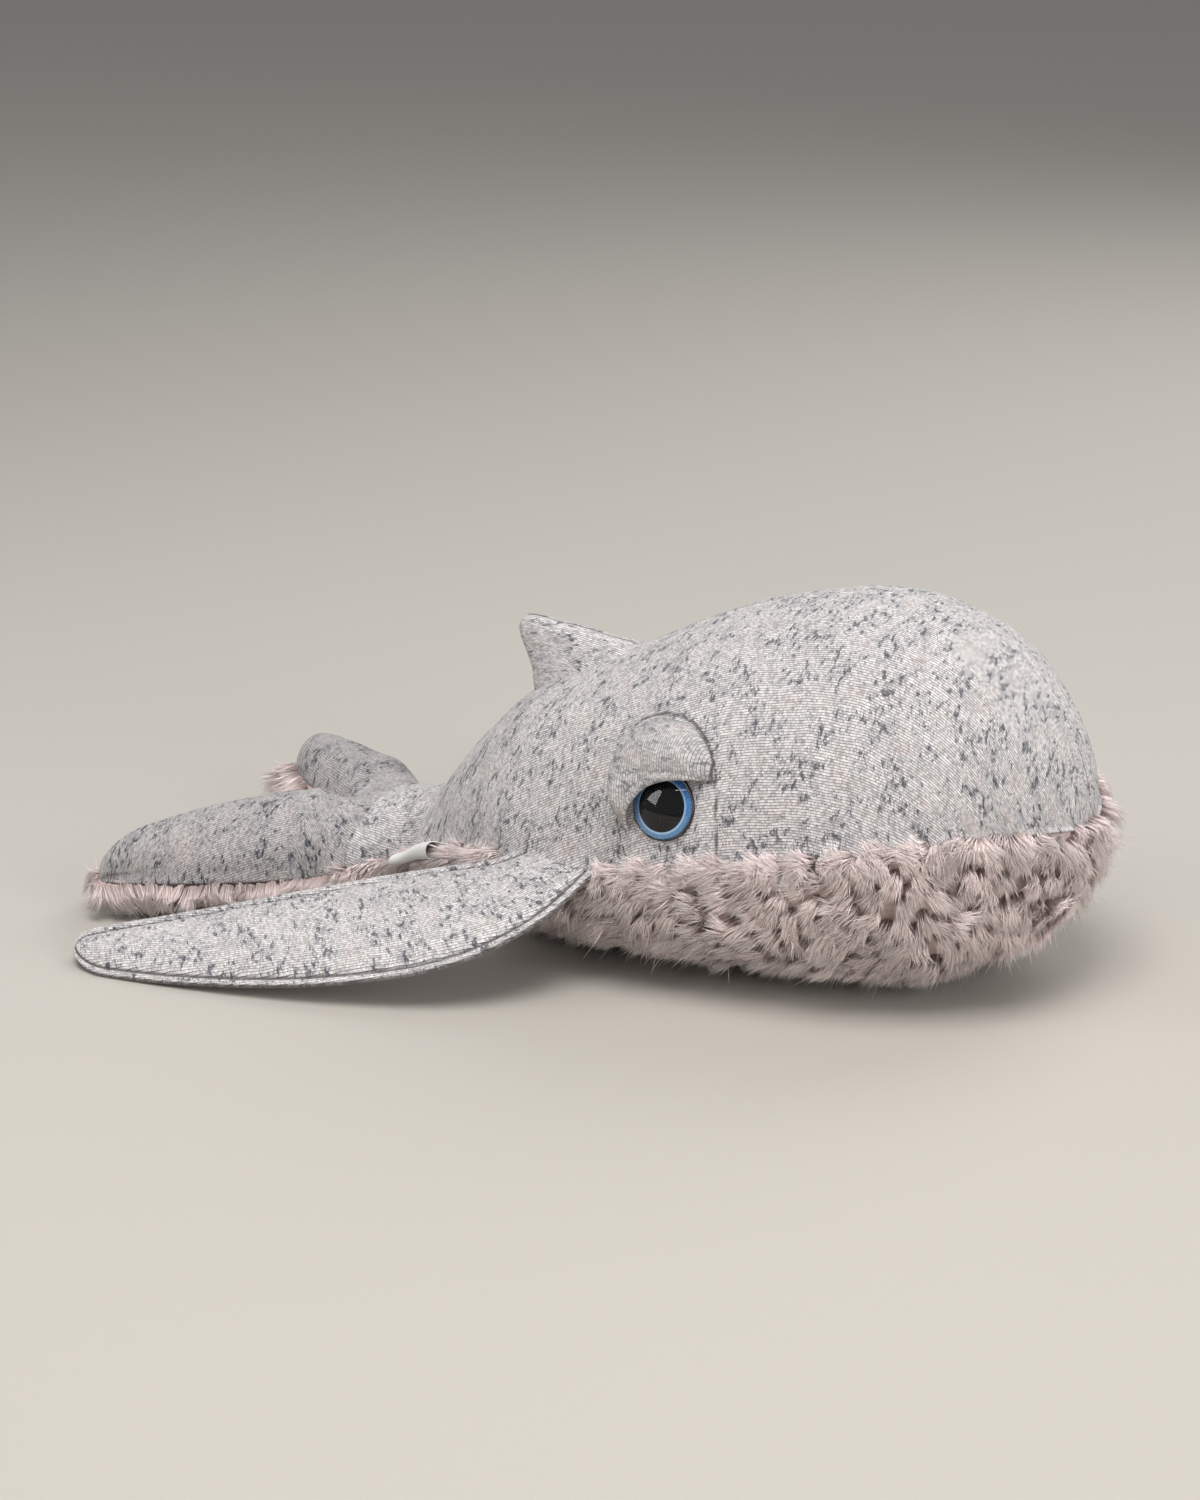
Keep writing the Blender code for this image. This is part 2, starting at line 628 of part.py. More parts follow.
def make_dorsal_fin(panels, stuffing):
    """Two knit covers over a stuffed cone that leans on a roll sunk in the back."""
    slope = math.radians(FIN_SLOPE)
    along = np.array((math.cos(slope), 0.0, math.sin(slope)))
    up = np.array((-math.sin(slope), 0.0, math.cos(slope)))
    place = fin_place()
    pivot = pivot_at("dorsal_fin_joint", place)
    height = FIN_BELT + np.array(FIN_STATION_SHARES) * (FIN_RISE - FIN_BELT)
    foot = np.array(place) + height[:, None] * up
    front = foot + np.outer(FIN_FRONT_SHARES, along) * FIN_LENGTH
    rear = foot + np.outer(FIN_REAR_SHARES, along) * FIN_LENGTH
    half = np.array(FIN_WIDTH_SHARES) * FIN_HALF_WIDTH
    aside = (0.0, -1.0, 0.0)
    form = stuffed_form(front, rear, half, half, aside, 8, 8)
    shift = np.array((0.0, GAP / 2, 0.0))
    over, under = list(range(9)), [*range(8, 16), 0]
    panel("dorsal_fin_right_cover", form, over, 0.0, "knit", (-shift, -shift), pivot)
    panel("dorsal_fin_left_cover", form, under, 0.0, "knit", (shift, shift), pivot)
    rings, out = form
    core_rings = rings - out * (KNIT + GAP)
    root = core_rings[:1] - FIN_BELT * 1.2 * up
    middle = root.mean(axis=1, keepdims=True)
    root = middle + (root - middle) * FIN_NECK_SHARE
    core = round_solid(
        "dorsal_fin_stuffing", np.concatenate([root, core_rings]), "stuffing", pivot
    )
    roll = spindle("fin_roll", place, along, FIN_ROLL_HALF, FIN_ROLL)
    combine(core, roll, "UNION")
    play = NECK_PLAY
    hollow = spindle("fin_hollow", place, along, FIN_ROLL_HALF + play, FIN_ROLL + play)
    for piece in (*panels, stuffing):
        combine(piece, hollow, "DIFFERENCE")
    return pivot


# Flippers: two knit leaves sewn round a thin pad


def flipper_axes(side):
    """Axes of a flipper: back along its root, out along its blade, and up from it."""
    inwards = math.radians(FLIPPER_ROOT_YAW)
    level = Vector((-math.cos(inwards), -side * math.sin(inwards), 0.0))
    fall = math.radians(FLIPPER_ROOT_FALL)
    back = level * math.cos(fall) - Vector((0.0, 0.0, 1.0)) * math.sin(fall)
    beside = Vector((-math.sin(inwards), side * math.cos(inwards), 0.0))
    droop = math.radians(FLIPPER_DROOP[side])
    out = beside * math.cos(droop) - beside.cross(back) * side * math.sin(droop)
    up = out.cross(back) * side
    return back, out, up


def flipper_root(side):
    """The front end of the flap axis, just outside the side seam."""
    width, _, seam = body_sizes(FLIPPER_ROOT_FORWARD)
    out = side * (width + FLIPPER_ROOT_STAND)
    return Vector((FLIPPER_ROOT_FORWARD, out, seam - FLIPPER_ROOT_SINK))


def flipper_edges(side):
    """The leading and trailing edges, and the direction out of the blade."""
    back, out, up = flipper_axes(side)
    lean = math.radians(BLADE_TURN[side])
    axis = back * math.cos(lean) + out * math.sin(lean)
    across = out * math.cos(lean) - back * math.sin(lean)
    start = flipper_root(side) + back * FLIPPER_CHORD * FLIPPER_START_SHARE
    edges = []
    for table, along_root in ((LEAD_SHARES, 0.0), (TRAIL_SHARES, FLIPPER_ROOT_LENGTH)):
        points = [flipper_root(side) + back * along_root - out * FLIPPER_TUCK]
        for span, chord in table:
            curl = up * FLIPPER_CURL * max(span, 0.0) ** 2
            place = start + axis * span * FLIPPER_LENGTH
            points.append(place + across * chord * FLIPPER_CHORD + curl)
        edges.append(np.array(points))
    return edges[0], edges[1], np.array(up)


def make_flipper(side_name):
    """Upper and lower covers that meet in a flat stitched rim, with a pad between."""
    side = SIDES[side_name]
    lead, trail, up = flipper_edges(side)
    pivot = pivot_at(f"{side_name}_flipper_joint", flipper_root(side))
    puff = np.array(PUFF_SHARES) * FLIPPER_PUFF
    middle = (lead + trail) / 2
    reach = lead - middle
    length = np.maximum(np.linalg.norm(reach, axis=1, keepdims=True), GAP)
    angles = np.linspace(0, math.pi, FLIPPER_COLUMNS + 1)

    def blade(rim, wall, face):
        """Points of one face, drawn in by the rim and the wall."""
        half = reach * np.maximum(1 - rim / length, FLIPPER_LEAST_SHARE)
        lift = np.maximum(puff - wall, GAP) * face
        return (
            middle[:, None]
            + half[:, None] * np.cos(angles)[None, :, None]
            + (lift[:, None] * np.sin(angles))[..., None] * up
        )

    for label, face in (("upper", 1), ("lower", -1)):
        skin = np.full((len(puff), 1, 1), KNIT)
        skin[0] *= FLIPPER_ROOT_WALL_SHARE
        outer = blade(0.0, 0.0, face) + up * face * skin
        inner = blade(FLIPPER_RIM, KNIT, face) + up * face * GAP / 2
        wall = up * face * (skin - GAP / 2)
        outer = np.concatenate([outer[:, :1] - wall, outer, outer[:, -1:] - wall], axis=1)
        inner = np.concatenate([inner[:, :1], inner, inner[:, -1:]], axis=1)
        sheet_solid(f"{side_name}_flipper_{label}_cover", outer, inner, "knit", pivot)
    top = blade(FLIPPER_RIM + GAP, KNIT + GAP, 1)
    bottom = blade(FLIPPER_RIM + GAP, KNIT + GAP, -1)
    rings = np.concatenate([top, bottom[:, -2:0:-1]], axis=1)
    round_solid(f"{side_name}_flipper_pad", rings[1:-1], "stuffing", pivot)
    return pivot


# Tail: a stuffed neck that bends, a fork and two flukes


def root_axes(side):
    """Axes of a fluke's root: inwards along it, out along the fluke, and up."""
    inwards = Vector((-0.501, -side * 0.838, 0.213)).normalized()
    outwards = Vector((-0.858, side * 0.513, 0.0))
    outwards = (outwards - inwards * outwards.dot(inwards)).normalized()
    up = inwards.cross(outwards)
    return inwards, outwards, up if up.z > 0 else -up


def root_place(side):
    return Vector((-ROOT_BACK, side * ROOT_SIDE, ROOT_HEIGHT))


def make_neck():
    """The stuffed ball on which the tail bends."""
    place = neck_pivot_place()
    pivot = pivot_at("tail_neck_joint", place)
    steps = np.radians(np.linspace(0, 180, 13))
    profile = list(zip(NECK_RADIUS * np.sin(steps), NECK_RADIUS * np.cos(steps)))
    frame = frame_at(place, (0.0, 1.0, 0.0))
    turned("tail_neck", profile, frame, "knit", pivot=pivot)


def make_fork():
    """Knit top, fur underside and stuffing between the neck and the flukes."""
    place = neck_pivot_place()
    pivot = pivot_at("tail_fork_joint", place)
    back = -NECK_BACK - NECK_BELT - np.array(FORK_STATION_SHARES) * FORK_LENGTH
    width = np.array(FORK_WIDTH_SHARES) * TAIL_HALF_SPAN
    seam = TAIL_SEAM + 0 * back
    right = np.stack([back, -width, seam], axis=1)
    left = np.stack([back, width, seam], axis=1)
    rise = np.array(FORK_RISE_SHARES) * TAIL_RISE
    drop = TAIL_DROP + 0 * back
    form = stuffed_form(right, left, rise, drop, (0.0, 0.0, 1.0), 12, 10, BELLY_SQUARE)
    shift = np.array((0.0, 0.0, GAP / 2))
    top = panel("tail_fork_top", form, list(range(13)), 0.0, "knit", (shift, shift), pivot)
    pile = pile_over(10, TAIL_PILE)
    columns = [*range(12, 22), 0]
    fur = panel("tail_fork_fur", form, columns, pile, "fur", (-shift, -shift), pivot)
    rings, out = form
    core = round_solid("tail_fork_stuffing", rings - out * (KNIT + GAP), "stuffing", pivot)
    radius = NECK_RADIUS + NECK_PLAY
    hollow = spindle("neck_hollow_tail", place, (0.0, 1.0, 0.0), radius, radius)
    for piece in (top, fur, core):
        combine(piece, hollow, "DIFFERENCE")
    for side_name, side in SIDES.items():
        _, outwards, _ = root_axes(side)
        root = root_place(side)
        past = half_space(f"{side_name}_root_plane", root - outwards * ROOT_BELT, outwards)
        for piece in (top, fur, core):
            combine(piece, past, "DIFFERENCE")
    for side_name, side in SIDES.items():
        inwards, _, _ = root_axes(side)
        root = root_place(side)
        roll = spindle(f"{side_name}_root_roll", root, inwards, ROLL_HALF, ROLL_RADIUS)
        combine(core, roll, "UNION")
        clear = spindle(
            f"{side_name}_root_clear", root, inwards,
            ROLL_HALF + FORK_WALL_CLEAR, ROLL_RADIUS + FORK_WALL_CLEAR,
        )
        for piece in (top, fur):
            combine(piece, clear, "DIFFERENCE")
    return pivot


def make_fluke(side_name):
    """One lobe of the tail: knit top, fur underside and stuffing."""
    side = SIDES[side_name]
    inwards, outwards, up = root_axes(side)
    root = root_place(side)
    pivot = pivot_at(f"{side_name}_fluke_joint", root)
    span = ROOT_BELT + np.array(FLUKE_STATION_SHARES) * (FLUKE_LENGTH - ROOT_BELT)
    chord = np.array(FLUKE_CHORD_SHARES) * FLUKE_CHORD
    lead_offset = -FLUKE_CHORD / 2 + FLUKE_BEND * (span / FLUKE_LENGTH) ** 2
    base = np.array(root) + np.outer(span, outwards)
    drop_in = np.outer((span / FLUKE_LENGTH) ** 2, (0.0, 0.0, -FLUKE_DROOP))
    lead = base + np.outer(lead_offset, inwards) + drop_in
    trail = lead + np.outer(chord, inwards)
    rise = np.array(FLUKE_RISE_SHARES) * FLUKE_RISE
    drop = np.array(FLUKE_DROP_SHARES) * FLUKE_DROP
    form = stuffed_form(lead, trail, rise, drop, np.array(up), 10, 8)
    shift = np.array(up) * GAP / 2
    name = f"{side_name}_fluke"
    top = panel(f"{name}_top", form, list(range(11)), 0.0, "knit", (shift, shift), pivot)
    pile = pile_over(8, TAIL_PILE)
    columns = [*range(10, 18), 0]
    fur = panel(f"{name}_fur", form, columns, pile, "fur", (-shift, -shift), pivot)
    rings, out = form
    core = round_solid(f"{name}_stuffing", rings - out * (KNIT + GAP), "stuffing", pivot)
    hollow = spindle(
        f"{name}_hollow", root, inwards, ROLL_HALF + NECK_PLAY, ROLL_RADIUS + NECK_PLAY
    )
    for piece in (top, fur, core):
        combine(piece, hollow, "DIFFERENCE")
    return pivot


def build():
    clear_scene()
    panels, fur, stuffing = make_body()
    for side_name, back_panel in zip(SIDES, panels):
        make_eye(side_name, back_panel, stuffing)
    make_label()
    make_dorsal_fin(panels, stuffing)
    for side_name in SIDES:
        make_flipper(side_name)
    make_neck()
    make_fork()
    for side_name in SIDES:
        make_fluke(side_name)


build()
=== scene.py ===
import math

import bpy
import numpy as np
from mathutils import Matrix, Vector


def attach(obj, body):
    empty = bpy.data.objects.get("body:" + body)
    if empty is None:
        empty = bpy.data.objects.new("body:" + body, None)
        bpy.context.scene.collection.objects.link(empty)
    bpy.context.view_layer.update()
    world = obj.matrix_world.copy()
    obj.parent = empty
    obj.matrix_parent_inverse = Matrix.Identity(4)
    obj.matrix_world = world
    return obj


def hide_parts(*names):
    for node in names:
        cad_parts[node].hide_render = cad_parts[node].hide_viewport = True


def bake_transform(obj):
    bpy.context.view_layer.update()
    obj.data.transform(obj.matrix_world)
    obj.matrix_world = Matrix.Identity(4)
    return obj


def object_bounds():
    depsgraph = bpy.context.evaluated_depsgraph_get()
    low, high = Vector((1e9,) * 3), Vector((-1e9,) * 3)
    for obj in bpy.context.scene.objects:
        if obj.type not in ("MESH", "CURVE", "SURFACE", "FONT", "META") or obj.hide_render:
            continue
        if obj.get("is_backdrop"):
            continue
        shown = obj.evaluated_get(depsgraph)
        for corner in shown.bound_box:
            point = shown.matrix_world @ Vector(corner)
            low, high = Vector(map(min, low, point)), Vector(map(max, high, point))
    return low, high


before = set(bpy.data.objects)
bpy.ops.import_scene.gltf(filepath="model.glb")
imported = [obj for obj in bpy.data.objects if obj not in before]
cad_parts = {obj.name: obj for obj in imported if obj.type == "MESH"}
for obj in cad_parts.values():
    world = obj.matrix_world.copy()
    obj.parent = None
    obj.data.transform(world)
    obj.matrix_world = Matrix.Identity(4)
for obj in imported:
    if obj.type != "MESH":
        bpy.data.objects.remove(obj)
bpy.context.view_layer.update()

# The studio: a camera with a long lens to the right of the whale, a little ahead of it and
# above. One large soft box hangs almost overhead, weaker ones stand by its tail, by its nose
# and on its far side, and the whale lies on a plain pale floor.
LOOK_AT = np.array((-0.071, -0.033, 0.105))
CAMERA_AZIMUTH, CAMERA_ELEVATION, CAMERA_DISTANCE = 25, 17, 1.9
LENS = 87.4
SKY_COLOUR = (0.95, 0.96, 1.0)
SKY_STRENGTH = 0.34
FLOOR_COLOUR = (0.46, 0.43, 0.385)
FLOOR_RADIUS = 14.0
FLOOR_SIDES = 64


def direction(azimuth, elevation):
    """Unit vector towards a place: degrees round from the whale's right side to its nose,
    and degrees up from level."""
    a, e = math.radians(azimuth), math.radians(elevation)
    return np.array((math.sin(a) * math.cos(e), -math.cos(a) * math.cos(e), math.sin(e)))


def aim(thing, place, target):
    """Stands a camera or a lamp at a place, looking along its own minus Z at the target."""
    away = np.array(place) - np.array(target)
    away = away / np.linalg.norm(away)
    right = np.cross((0.0, 0.0, 1.0), away)
    right = right / np.linalg.norm(right)
    up = np.cross(away, right)
    matrix = np.eye(4)
    matrix[:3, :3] = np.stack([right, up, away], axis=1)
    matrix[:3, 3] = place
    thing.matrix_world = Matrix(matrix.tolist())
    bpy.context.scene.collection.objects.link(thing)


camera = bpy.data.objects.new("camera", bpy.data.cameras.new("camera"))
camera.data.lens = LENS
stand = LOOK_AT + direction(CAMERA_AZIMUTH, CAMERA_ELEVATION) * CAMERA_DISTANCE
aim(camera, stand, LOOK_AT)
bpy.context.scene.camera = camera
bpy.context.scene.view_settings.view_transform = "Standard"

for lamp_name, azimuth, elevation, distance, size, power, spread in (
    ("key_soft_box", 20, 66, 2.2, 1.3, 41.0, 180),
    ("fill_soft_box", -52, 24, 2.4, 1.1, 16.0, 180),
    ("front_soft_box", 66, 16, 2.4, 1.4, 7.4, 90),
    ("back_soft_box", 165, 38, 2.4, 1.6, 23.0, 180),
):
    lamp = bpy.data.lights.new(lamp_name, "AREA")
    lamp.shape = "SQUARE"
    lamp.size = size
    lamp.energy = power
    lamp.spread = math.radians(spread)
    holder = bpy.data.objects.new(lamp_name, lamp)
    aim(holder, LOOK_AT + direction(azimuth, elevation) * distance, LOOK_AT)

world = bpy.data.worlds.new("studio")
world.use_nodes = True
sky = world.node_tree.nodes["Background"].inputs
sky["Color"].default_value = (*SKY_COLOUR, 1.0)
sky["Strength"].default_value = SKY_STRENGTH
bpy.context.scene.world = world

floor_mesh = bpy.data.meshes.new("floor")
turns = np.linspace(0, 2 * math.pi, FLOOR_SIDES, endpoint=False)
ring = np.stack([np.cos(turns), np.sin(turns), 0 * turns], axis=1) * FLOOR_RADIUS
floor_mesh.from_pydata(ring.tolist(), [], [list(range(FLOOR_SIDES))])
floor = bpy.data.objects.new("floor", floor_mesh)
bpy.context.scene.collection.objects.link(floor)
floor_paint = bpy.data.materials.new("floor")
floor_paint.use_nodes = True
floor_shader = floor_paint.node_tree.nodes["Principled BSDF"]
floor_shader.inputs["Base Color"].default_value = (*FLOOR_COLOUR, 1.0)
floor_shader.inputs["Roughness"].default_value = 0.9
floor_mesh.materials.append(floor_paint)
floor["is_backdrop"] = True

# The back: two panels of heather grey jersey knit, sewn to each other along the back and to
# the fur along the sides, over a round stuffed body. They run on behind as the sleeve of the
# tail's neck.
KNIT = 0.0014
BODY_FRONT = 0.185
HALF_WIDTH = 0.105
BACK_RISE = 0.1145
BELLY_DROP = 0.0775
SEAM_HEIGHT = 0.098
BEND_START = -0.166
BEND_MIDDLE = -0.190
BEND_END = -0.213
SIDES = {"right": -1, "left": 1}
# The knit's own sizes are in millimetres of its flat lay, as is the reach of a seam's mark.
WALE = 1.42
COURSE = 0.95
LEFT_CLOTH = (400 * COURSE, 200 * WALE)
SEAM_REACH = 10
YARN = (0.775, 0.738, 0.722, 1.0)
SLUB = (0.035, 0.042, 0.068, 1.0)
CLOUDY_YARN = (0.40, 0.41, 0.44, 1.0)
SLUB_HALO = (0.34, 0.355, 0.40, 1.0)
WARM_YARN = (0.70, 0.60, 0.565, 1.0)
KNIT_SHADOW = (0.10, 0.085, 0.08, 1.0)
PLACES = np.array((
    -0.213, -0.204, -0.197, -0.190, -0.183, -0.176, -0.1652, -0.1504, -0.1276, -0.1056,
    -0.0760, -0.0446, -0.0117, 0.0229, 0.0576, 0.0872, 0.1168, 0.1413, 0.1612, 0.1742,
    0.1814, 0.185,
))
WIDTHS = HALF_WIDTH * np.array((
    0.515, 0.435, 0.378, 0.335, 0.312, 0.322, 0.390, 0.505, 0.648, 0.762, 0.862, 0.929,
    0.971, 0.995, 1.0, 0.971, 0.886, 0.752, 0.576, 0.400, 0.232, 0.0,
))
RISES = BACK_RISE * np.array((
    0.268, 0.270, 0.266, 0.262, 0.266, 0.288, 0.362, 0.467, 0.598, 0.703, 0.790, 0.878,
    0.948, 0.991, 1.0, 0.955, 0.848, 0.691, 0.515, 0.345, 0.183, 0.0,
))
DROPS = BELLY_DROP * np.array((
    0.155, 0.162, 0.172, 0.190, 0.212, 0.245, 0.342, 0.445, 0.535, 0.587, 0.626, 0.665,
    0.755, 0.845, 0.916, 0.981, 1.0, 0.942, 0.774, 0.600, 0.374, 0.0,
))
SEAMS = SEAM_HEIGHT * np.array((
    0.245, 0.255, 0.272, 0.292, 0.312, 0.334, 0.393, 0.464, 0.536, 0.577, 0.607, 0.638,
    0.709, 0.781, 0.837, 0.898, 0.954, 0.995, 1.0, 0.985, 0.959, 0.939,
))


def through(x, stations, values):
    """A smooth line through a table: between two stations it is the cubic whose slopes at
    both ends are harmonic means of the neighbouring slopes, or none at a turning point."""
    stations, values = np.asarray(stations, float), np.asarray(values, float)
    step = np.diff(stations)
    rise = np.diff(values) / step
    product = rise[:-1] * rise[1:]
    total = np.where(np.abs(rise[:-1] + rise[1:]) > 0, rise[:-1] + rise[1:], 1.0)
    inner = np.where(product > 0, 2 * product / total, 0.0)
    slope = np.concatenate([rise[:1], inner, rise[-1:]])
    x = np.clip(x, stations[0], stations[-1])
    i = np.clip(np.searchsorted(stations, x, side="right") - 1, 0, len(step) - 1)
    s = (x - stations[i]) / step[i]
    a, b = values[i], values[i + 1]
    return (
        a * (1 + 2 * s) * (1 - s) ** 2 + b * s * s * (3 - 2 * s)
        + step[i] * (slope[i] * s * (1 - s) ** 2 - slope[i + 1] * s * s * (1 - s))
    )


def body_sizes(x):
    """Half width, rise, drop and seam height at a place: the squares of the first three run
    smoothly through their tables, so that the nose is round, and the seam runs smoothly."""
    width, rise, drop = (
        np.sqrt(np.maximum(through(x, PLACES, table**2), 0.0))
        for table in (WIDTHS, RISES, DROPS)
    )
    return width, rise, drop, through(x, PLACES, SEAMS)


def on_back(x, angle, side):
    """A point of the knit: half width times cosine aside, seam plus rise times sine up."""
    width, rise, _, seam = body_sizes(x)
    return np.stack(
        [x + 0 * angle, side * width * np.cos(angle), seam + rise * np.sin(angle)], axis=-1
    )


def facing(points):
    """Unit normals of a grid of points: the cross product of its two central differences."""
    out = np.cross(np.gradient(points, axis=0), np.gradient(points, axis=1))
    size = np.linalg.norm(out, axis=-1, keepdims=True)
    return out / np.where(size > 1e-12, size, 1.0)


def lumps(points, size, seed):
    """Soft unevenness, mostly between -1 and 1: the sum of twelve sine waves of random
    direction, each about as long as the size given, divided by 4.5."""
    random = np.random.default_rng(seed)
    value = 0.0
    for _ in range(12):
        wave = random.normal(size=3)
        wave *= 2 * math.pi / (size * random.uniform(0.7, 1.5) * np.linalg.norm(wave))
        value = value + np.sin(points @ wave + random.uniform(0, 2 * math.pi))
    return value / 4.5


def unevenness(points):
    """How far the stuffing under it pushes the knit out or lets it in: waves about 75 mm
    long and 0.9 mm high, with others of 20 mm and 0.3 mm on them."""
    return 0.0009 * lumps(points, 0.075, 3) + 0.0003 * lumps(points, 0.02, 4)


def lengths(points, axis):
    """Millimetres run along a grid's rows or columns from its first point."""
    step = np.linalg.norm(np.diff(points, axis=axis), axis=-1) * 1000
    pad = [(0, 0), (0, 0)]
    pad[axis] = (1, 0)
    return np.cumsum(np.pad(step, pad), axis=axis)


def sewn(
    name, points, spread=None, closed=False, wall=0.0, material=None, seam=None
):
    """A piece from a grid of points, one quad for each cell, smooth shaded and facing out,
    with its flat lay in millimetres as the UV map cloth. A closed grid wraps round and has
    a fan at each end, and a wall gives a single sheet its thickness inwards. The attribute
    seam is 10 less the millimetres to the nearest seam, or 0 far from one. A left piece is
    cut from another place of the cloth, so that its slubs don't mirror the right one's."""
    rows, columns = points.shape[:2]
    index = np.arange(rows * columns).reshape(rows, columns)
    across = np.roll(index, -1, axis=1) if closed else index[:, 1:]
    near = index if closed else index[:, :-1]
    quads = np.stack([near[:-1], across[:-1], across[1:], near[1:]], axis=-1).reshape(-1, 4)
    flat = points.reshape(-1, 3)
    corner = flat[quads]
    normal = np.cross(corner[:, 2] - corner[:, 0], corner[:, 3] - corner[:, 1])
    outward = (normal * (corner.mean(axis=1) - flat.mean(axis=0))).sum()
    faces = quads.tolist()
    if closed:
        flat = np.concatenate([flat, points[0].mean(axis=0)[None], points[-1].mean(axis=0)[None]])
        first, last = index[0], index[-1]
        faces += [[rows * columns, int(b), int(a)] for a, b in zip(first, np.roll(first, -1))]
        faces += [[rows * columns + 1, int(a), int(b)] for a, b in zip(last, np.roll(last, -1))]
    if outward < 0:
        faces = [face[::-1] for face in faces]
    mesh = bpy.data.meshes.new(name)
    mesh.from_pydata(flat.tolist(), [], faces)
    mesh.shade_smooth()
    if spread is not None:
        start = LEFT_CLOTH if name.startswith("left") else (0.0, 0.0)
        corners = np.empty(len(mesh.loops), np.int32)
        mesh.loops.foreach_get("vertex_index", corners)
        lay = np.concatenate([spread.reshape(-1, 2), np.zeros((2, 2))]) + start
        cloth = mesh.uv_layers.new(name="cloth")
        cloth.data.foreach_set("uv", lay[corners].astype(np.float32).ravel())
    if seam is not None:
        near_seam = np.clip(SEAM_REACH - np.abs(seam).ravel(), 0, SEAM_REACH)
        near_seam = np.concatenate([near_seam, np.zeros(2)])[: len(mesh.vertices)]
        mark = mesh.attributes.new("seam", "FLOAT", "POINT")
        mark.data.foreach_set("value", near_seam.astype(np.float32))
    piece = bpy.data.objects.new(name, mesh)
    bpy.context.scene.collection.objects.link(piece)
    if material:
        mesh.materials.append(material)
    if wall:
        body = piece.modifiers.new("wall", "SOLIDIFY")
        body.thickness = wall
        body.offset = -1.0
    return piece


class Sheet:
    """Places nodes in a node tree and joins them. An input goes by its name, with _ for a
    space, or by i and its number."""

    def __init__(self, tree):
        self.tree = tree

    def link(self, value, place):
        """Joins an output to an input, or sets the input to a plain value."""
        if isinstance(value, bpy.types.NodeSocket):
            self.tree.links.new(value, place)
        else:
            place.default_value = value

    def node(self, kind, settings=None, **inputs):
        made = self.tree.nodes.new(kind)
        for key, value in (settings or {}).items():
            setattr(made, key, value)
        for key, value in inputs.items():
            place = int(key[1:]) if key[1:].isdigit() else key.replace("_", " ")
            self.link(value, made.inputs[place])
        return made

    def sum(self, operation, *values):
        inputs = {f"i{i}": value for i, value in enumerate(values)}
        return self.node("ShaderNodeMath", {"operation": operation}, **inputs).outputs[0]

    def times(self, first, second):
        return self.sum("MULTIPLY", first, second)

    def less(self, first, second):
        return self.sum("SUBTRACT", first, second)

    def vector(self, operation, **inputs):
        return self.node("ShaderNodeVectorMath", {"operation": operation}, **inputs).outputs

    def split(self, vector):
        return self.node("ShaderNodeSeparateXYZ", Vector=vector).outputs

    def cloth(self):
        return self.node("ShaderNodeUVMap", {"uv_map": "cloth"}).outputs["UV"]

    def place(self):
        return self.node("ShaderNodeTexCoord").outputs["Object"]

    def ramp(self, value, low, high, start=0.0, end=1.0):
        """Runs smoothly from start to end while the value goes from low to high."""
        ends = {"From_Min": low, "From_Max": high, "To_Min": start, "To_Max": end}
        smooth = {"interpolation_type": "SMOOTHSTEP"}
        return self.node("ShaderNodeMapRange", smooth, Value=value, **ends).outputs["Result"]

    def mix(self, factor, first, second):
        colours = {"data_type": "RGBA"}
        return self.node("ShaderNodeMix", colours, i0=factor, i6=first, i7=second).outputs[2]

    def noise(self, vector, scale, detail=2.0, roughness=0.5):
        return self.node(
            "ShaderNodeTexNoise", Vector=vector, Scale=scale, Detail=detail, Roughness=roughness
        ).outputs["Fac"]


def new_material(name, **settings):
    """A material, a sheet over its nodes, and its shader with the settings given."""
    material = bpy.data.materials.new(name)
    material.use_nodes = True
    shader = material.node_tree.nodes["Principled BSDF"]
    for key, value in settings.items():
        shader.inputs[key.replace("_", " ")].default_value = value
    return material, Sheet(material.node_tree), shader


def new_pattern(name, inputs, outputs):
    """A node group with the sockets given, a sheet over it, and its own two ends."""
    group = bpy.data.node_groups.new(name, "ShaderNodeTree")
    for label, kind, value in inputs:
        socket = group.interface.new_socket(
            label, in_out="INPUT", socket_type=f"NodeSocket{kind}"
        )
        socket.default_value = value
    for label, kind in outputs:
        group.interface.new_socket(label, in_out="OUTPUT", socket_type=f"NodeSocket{kind}")
    given = group.nodes.new("NodeGroupInput").outputs
    result = group.nodes.new("NodeGroupOutput").inputs
    return group, Sheet(group), given, result


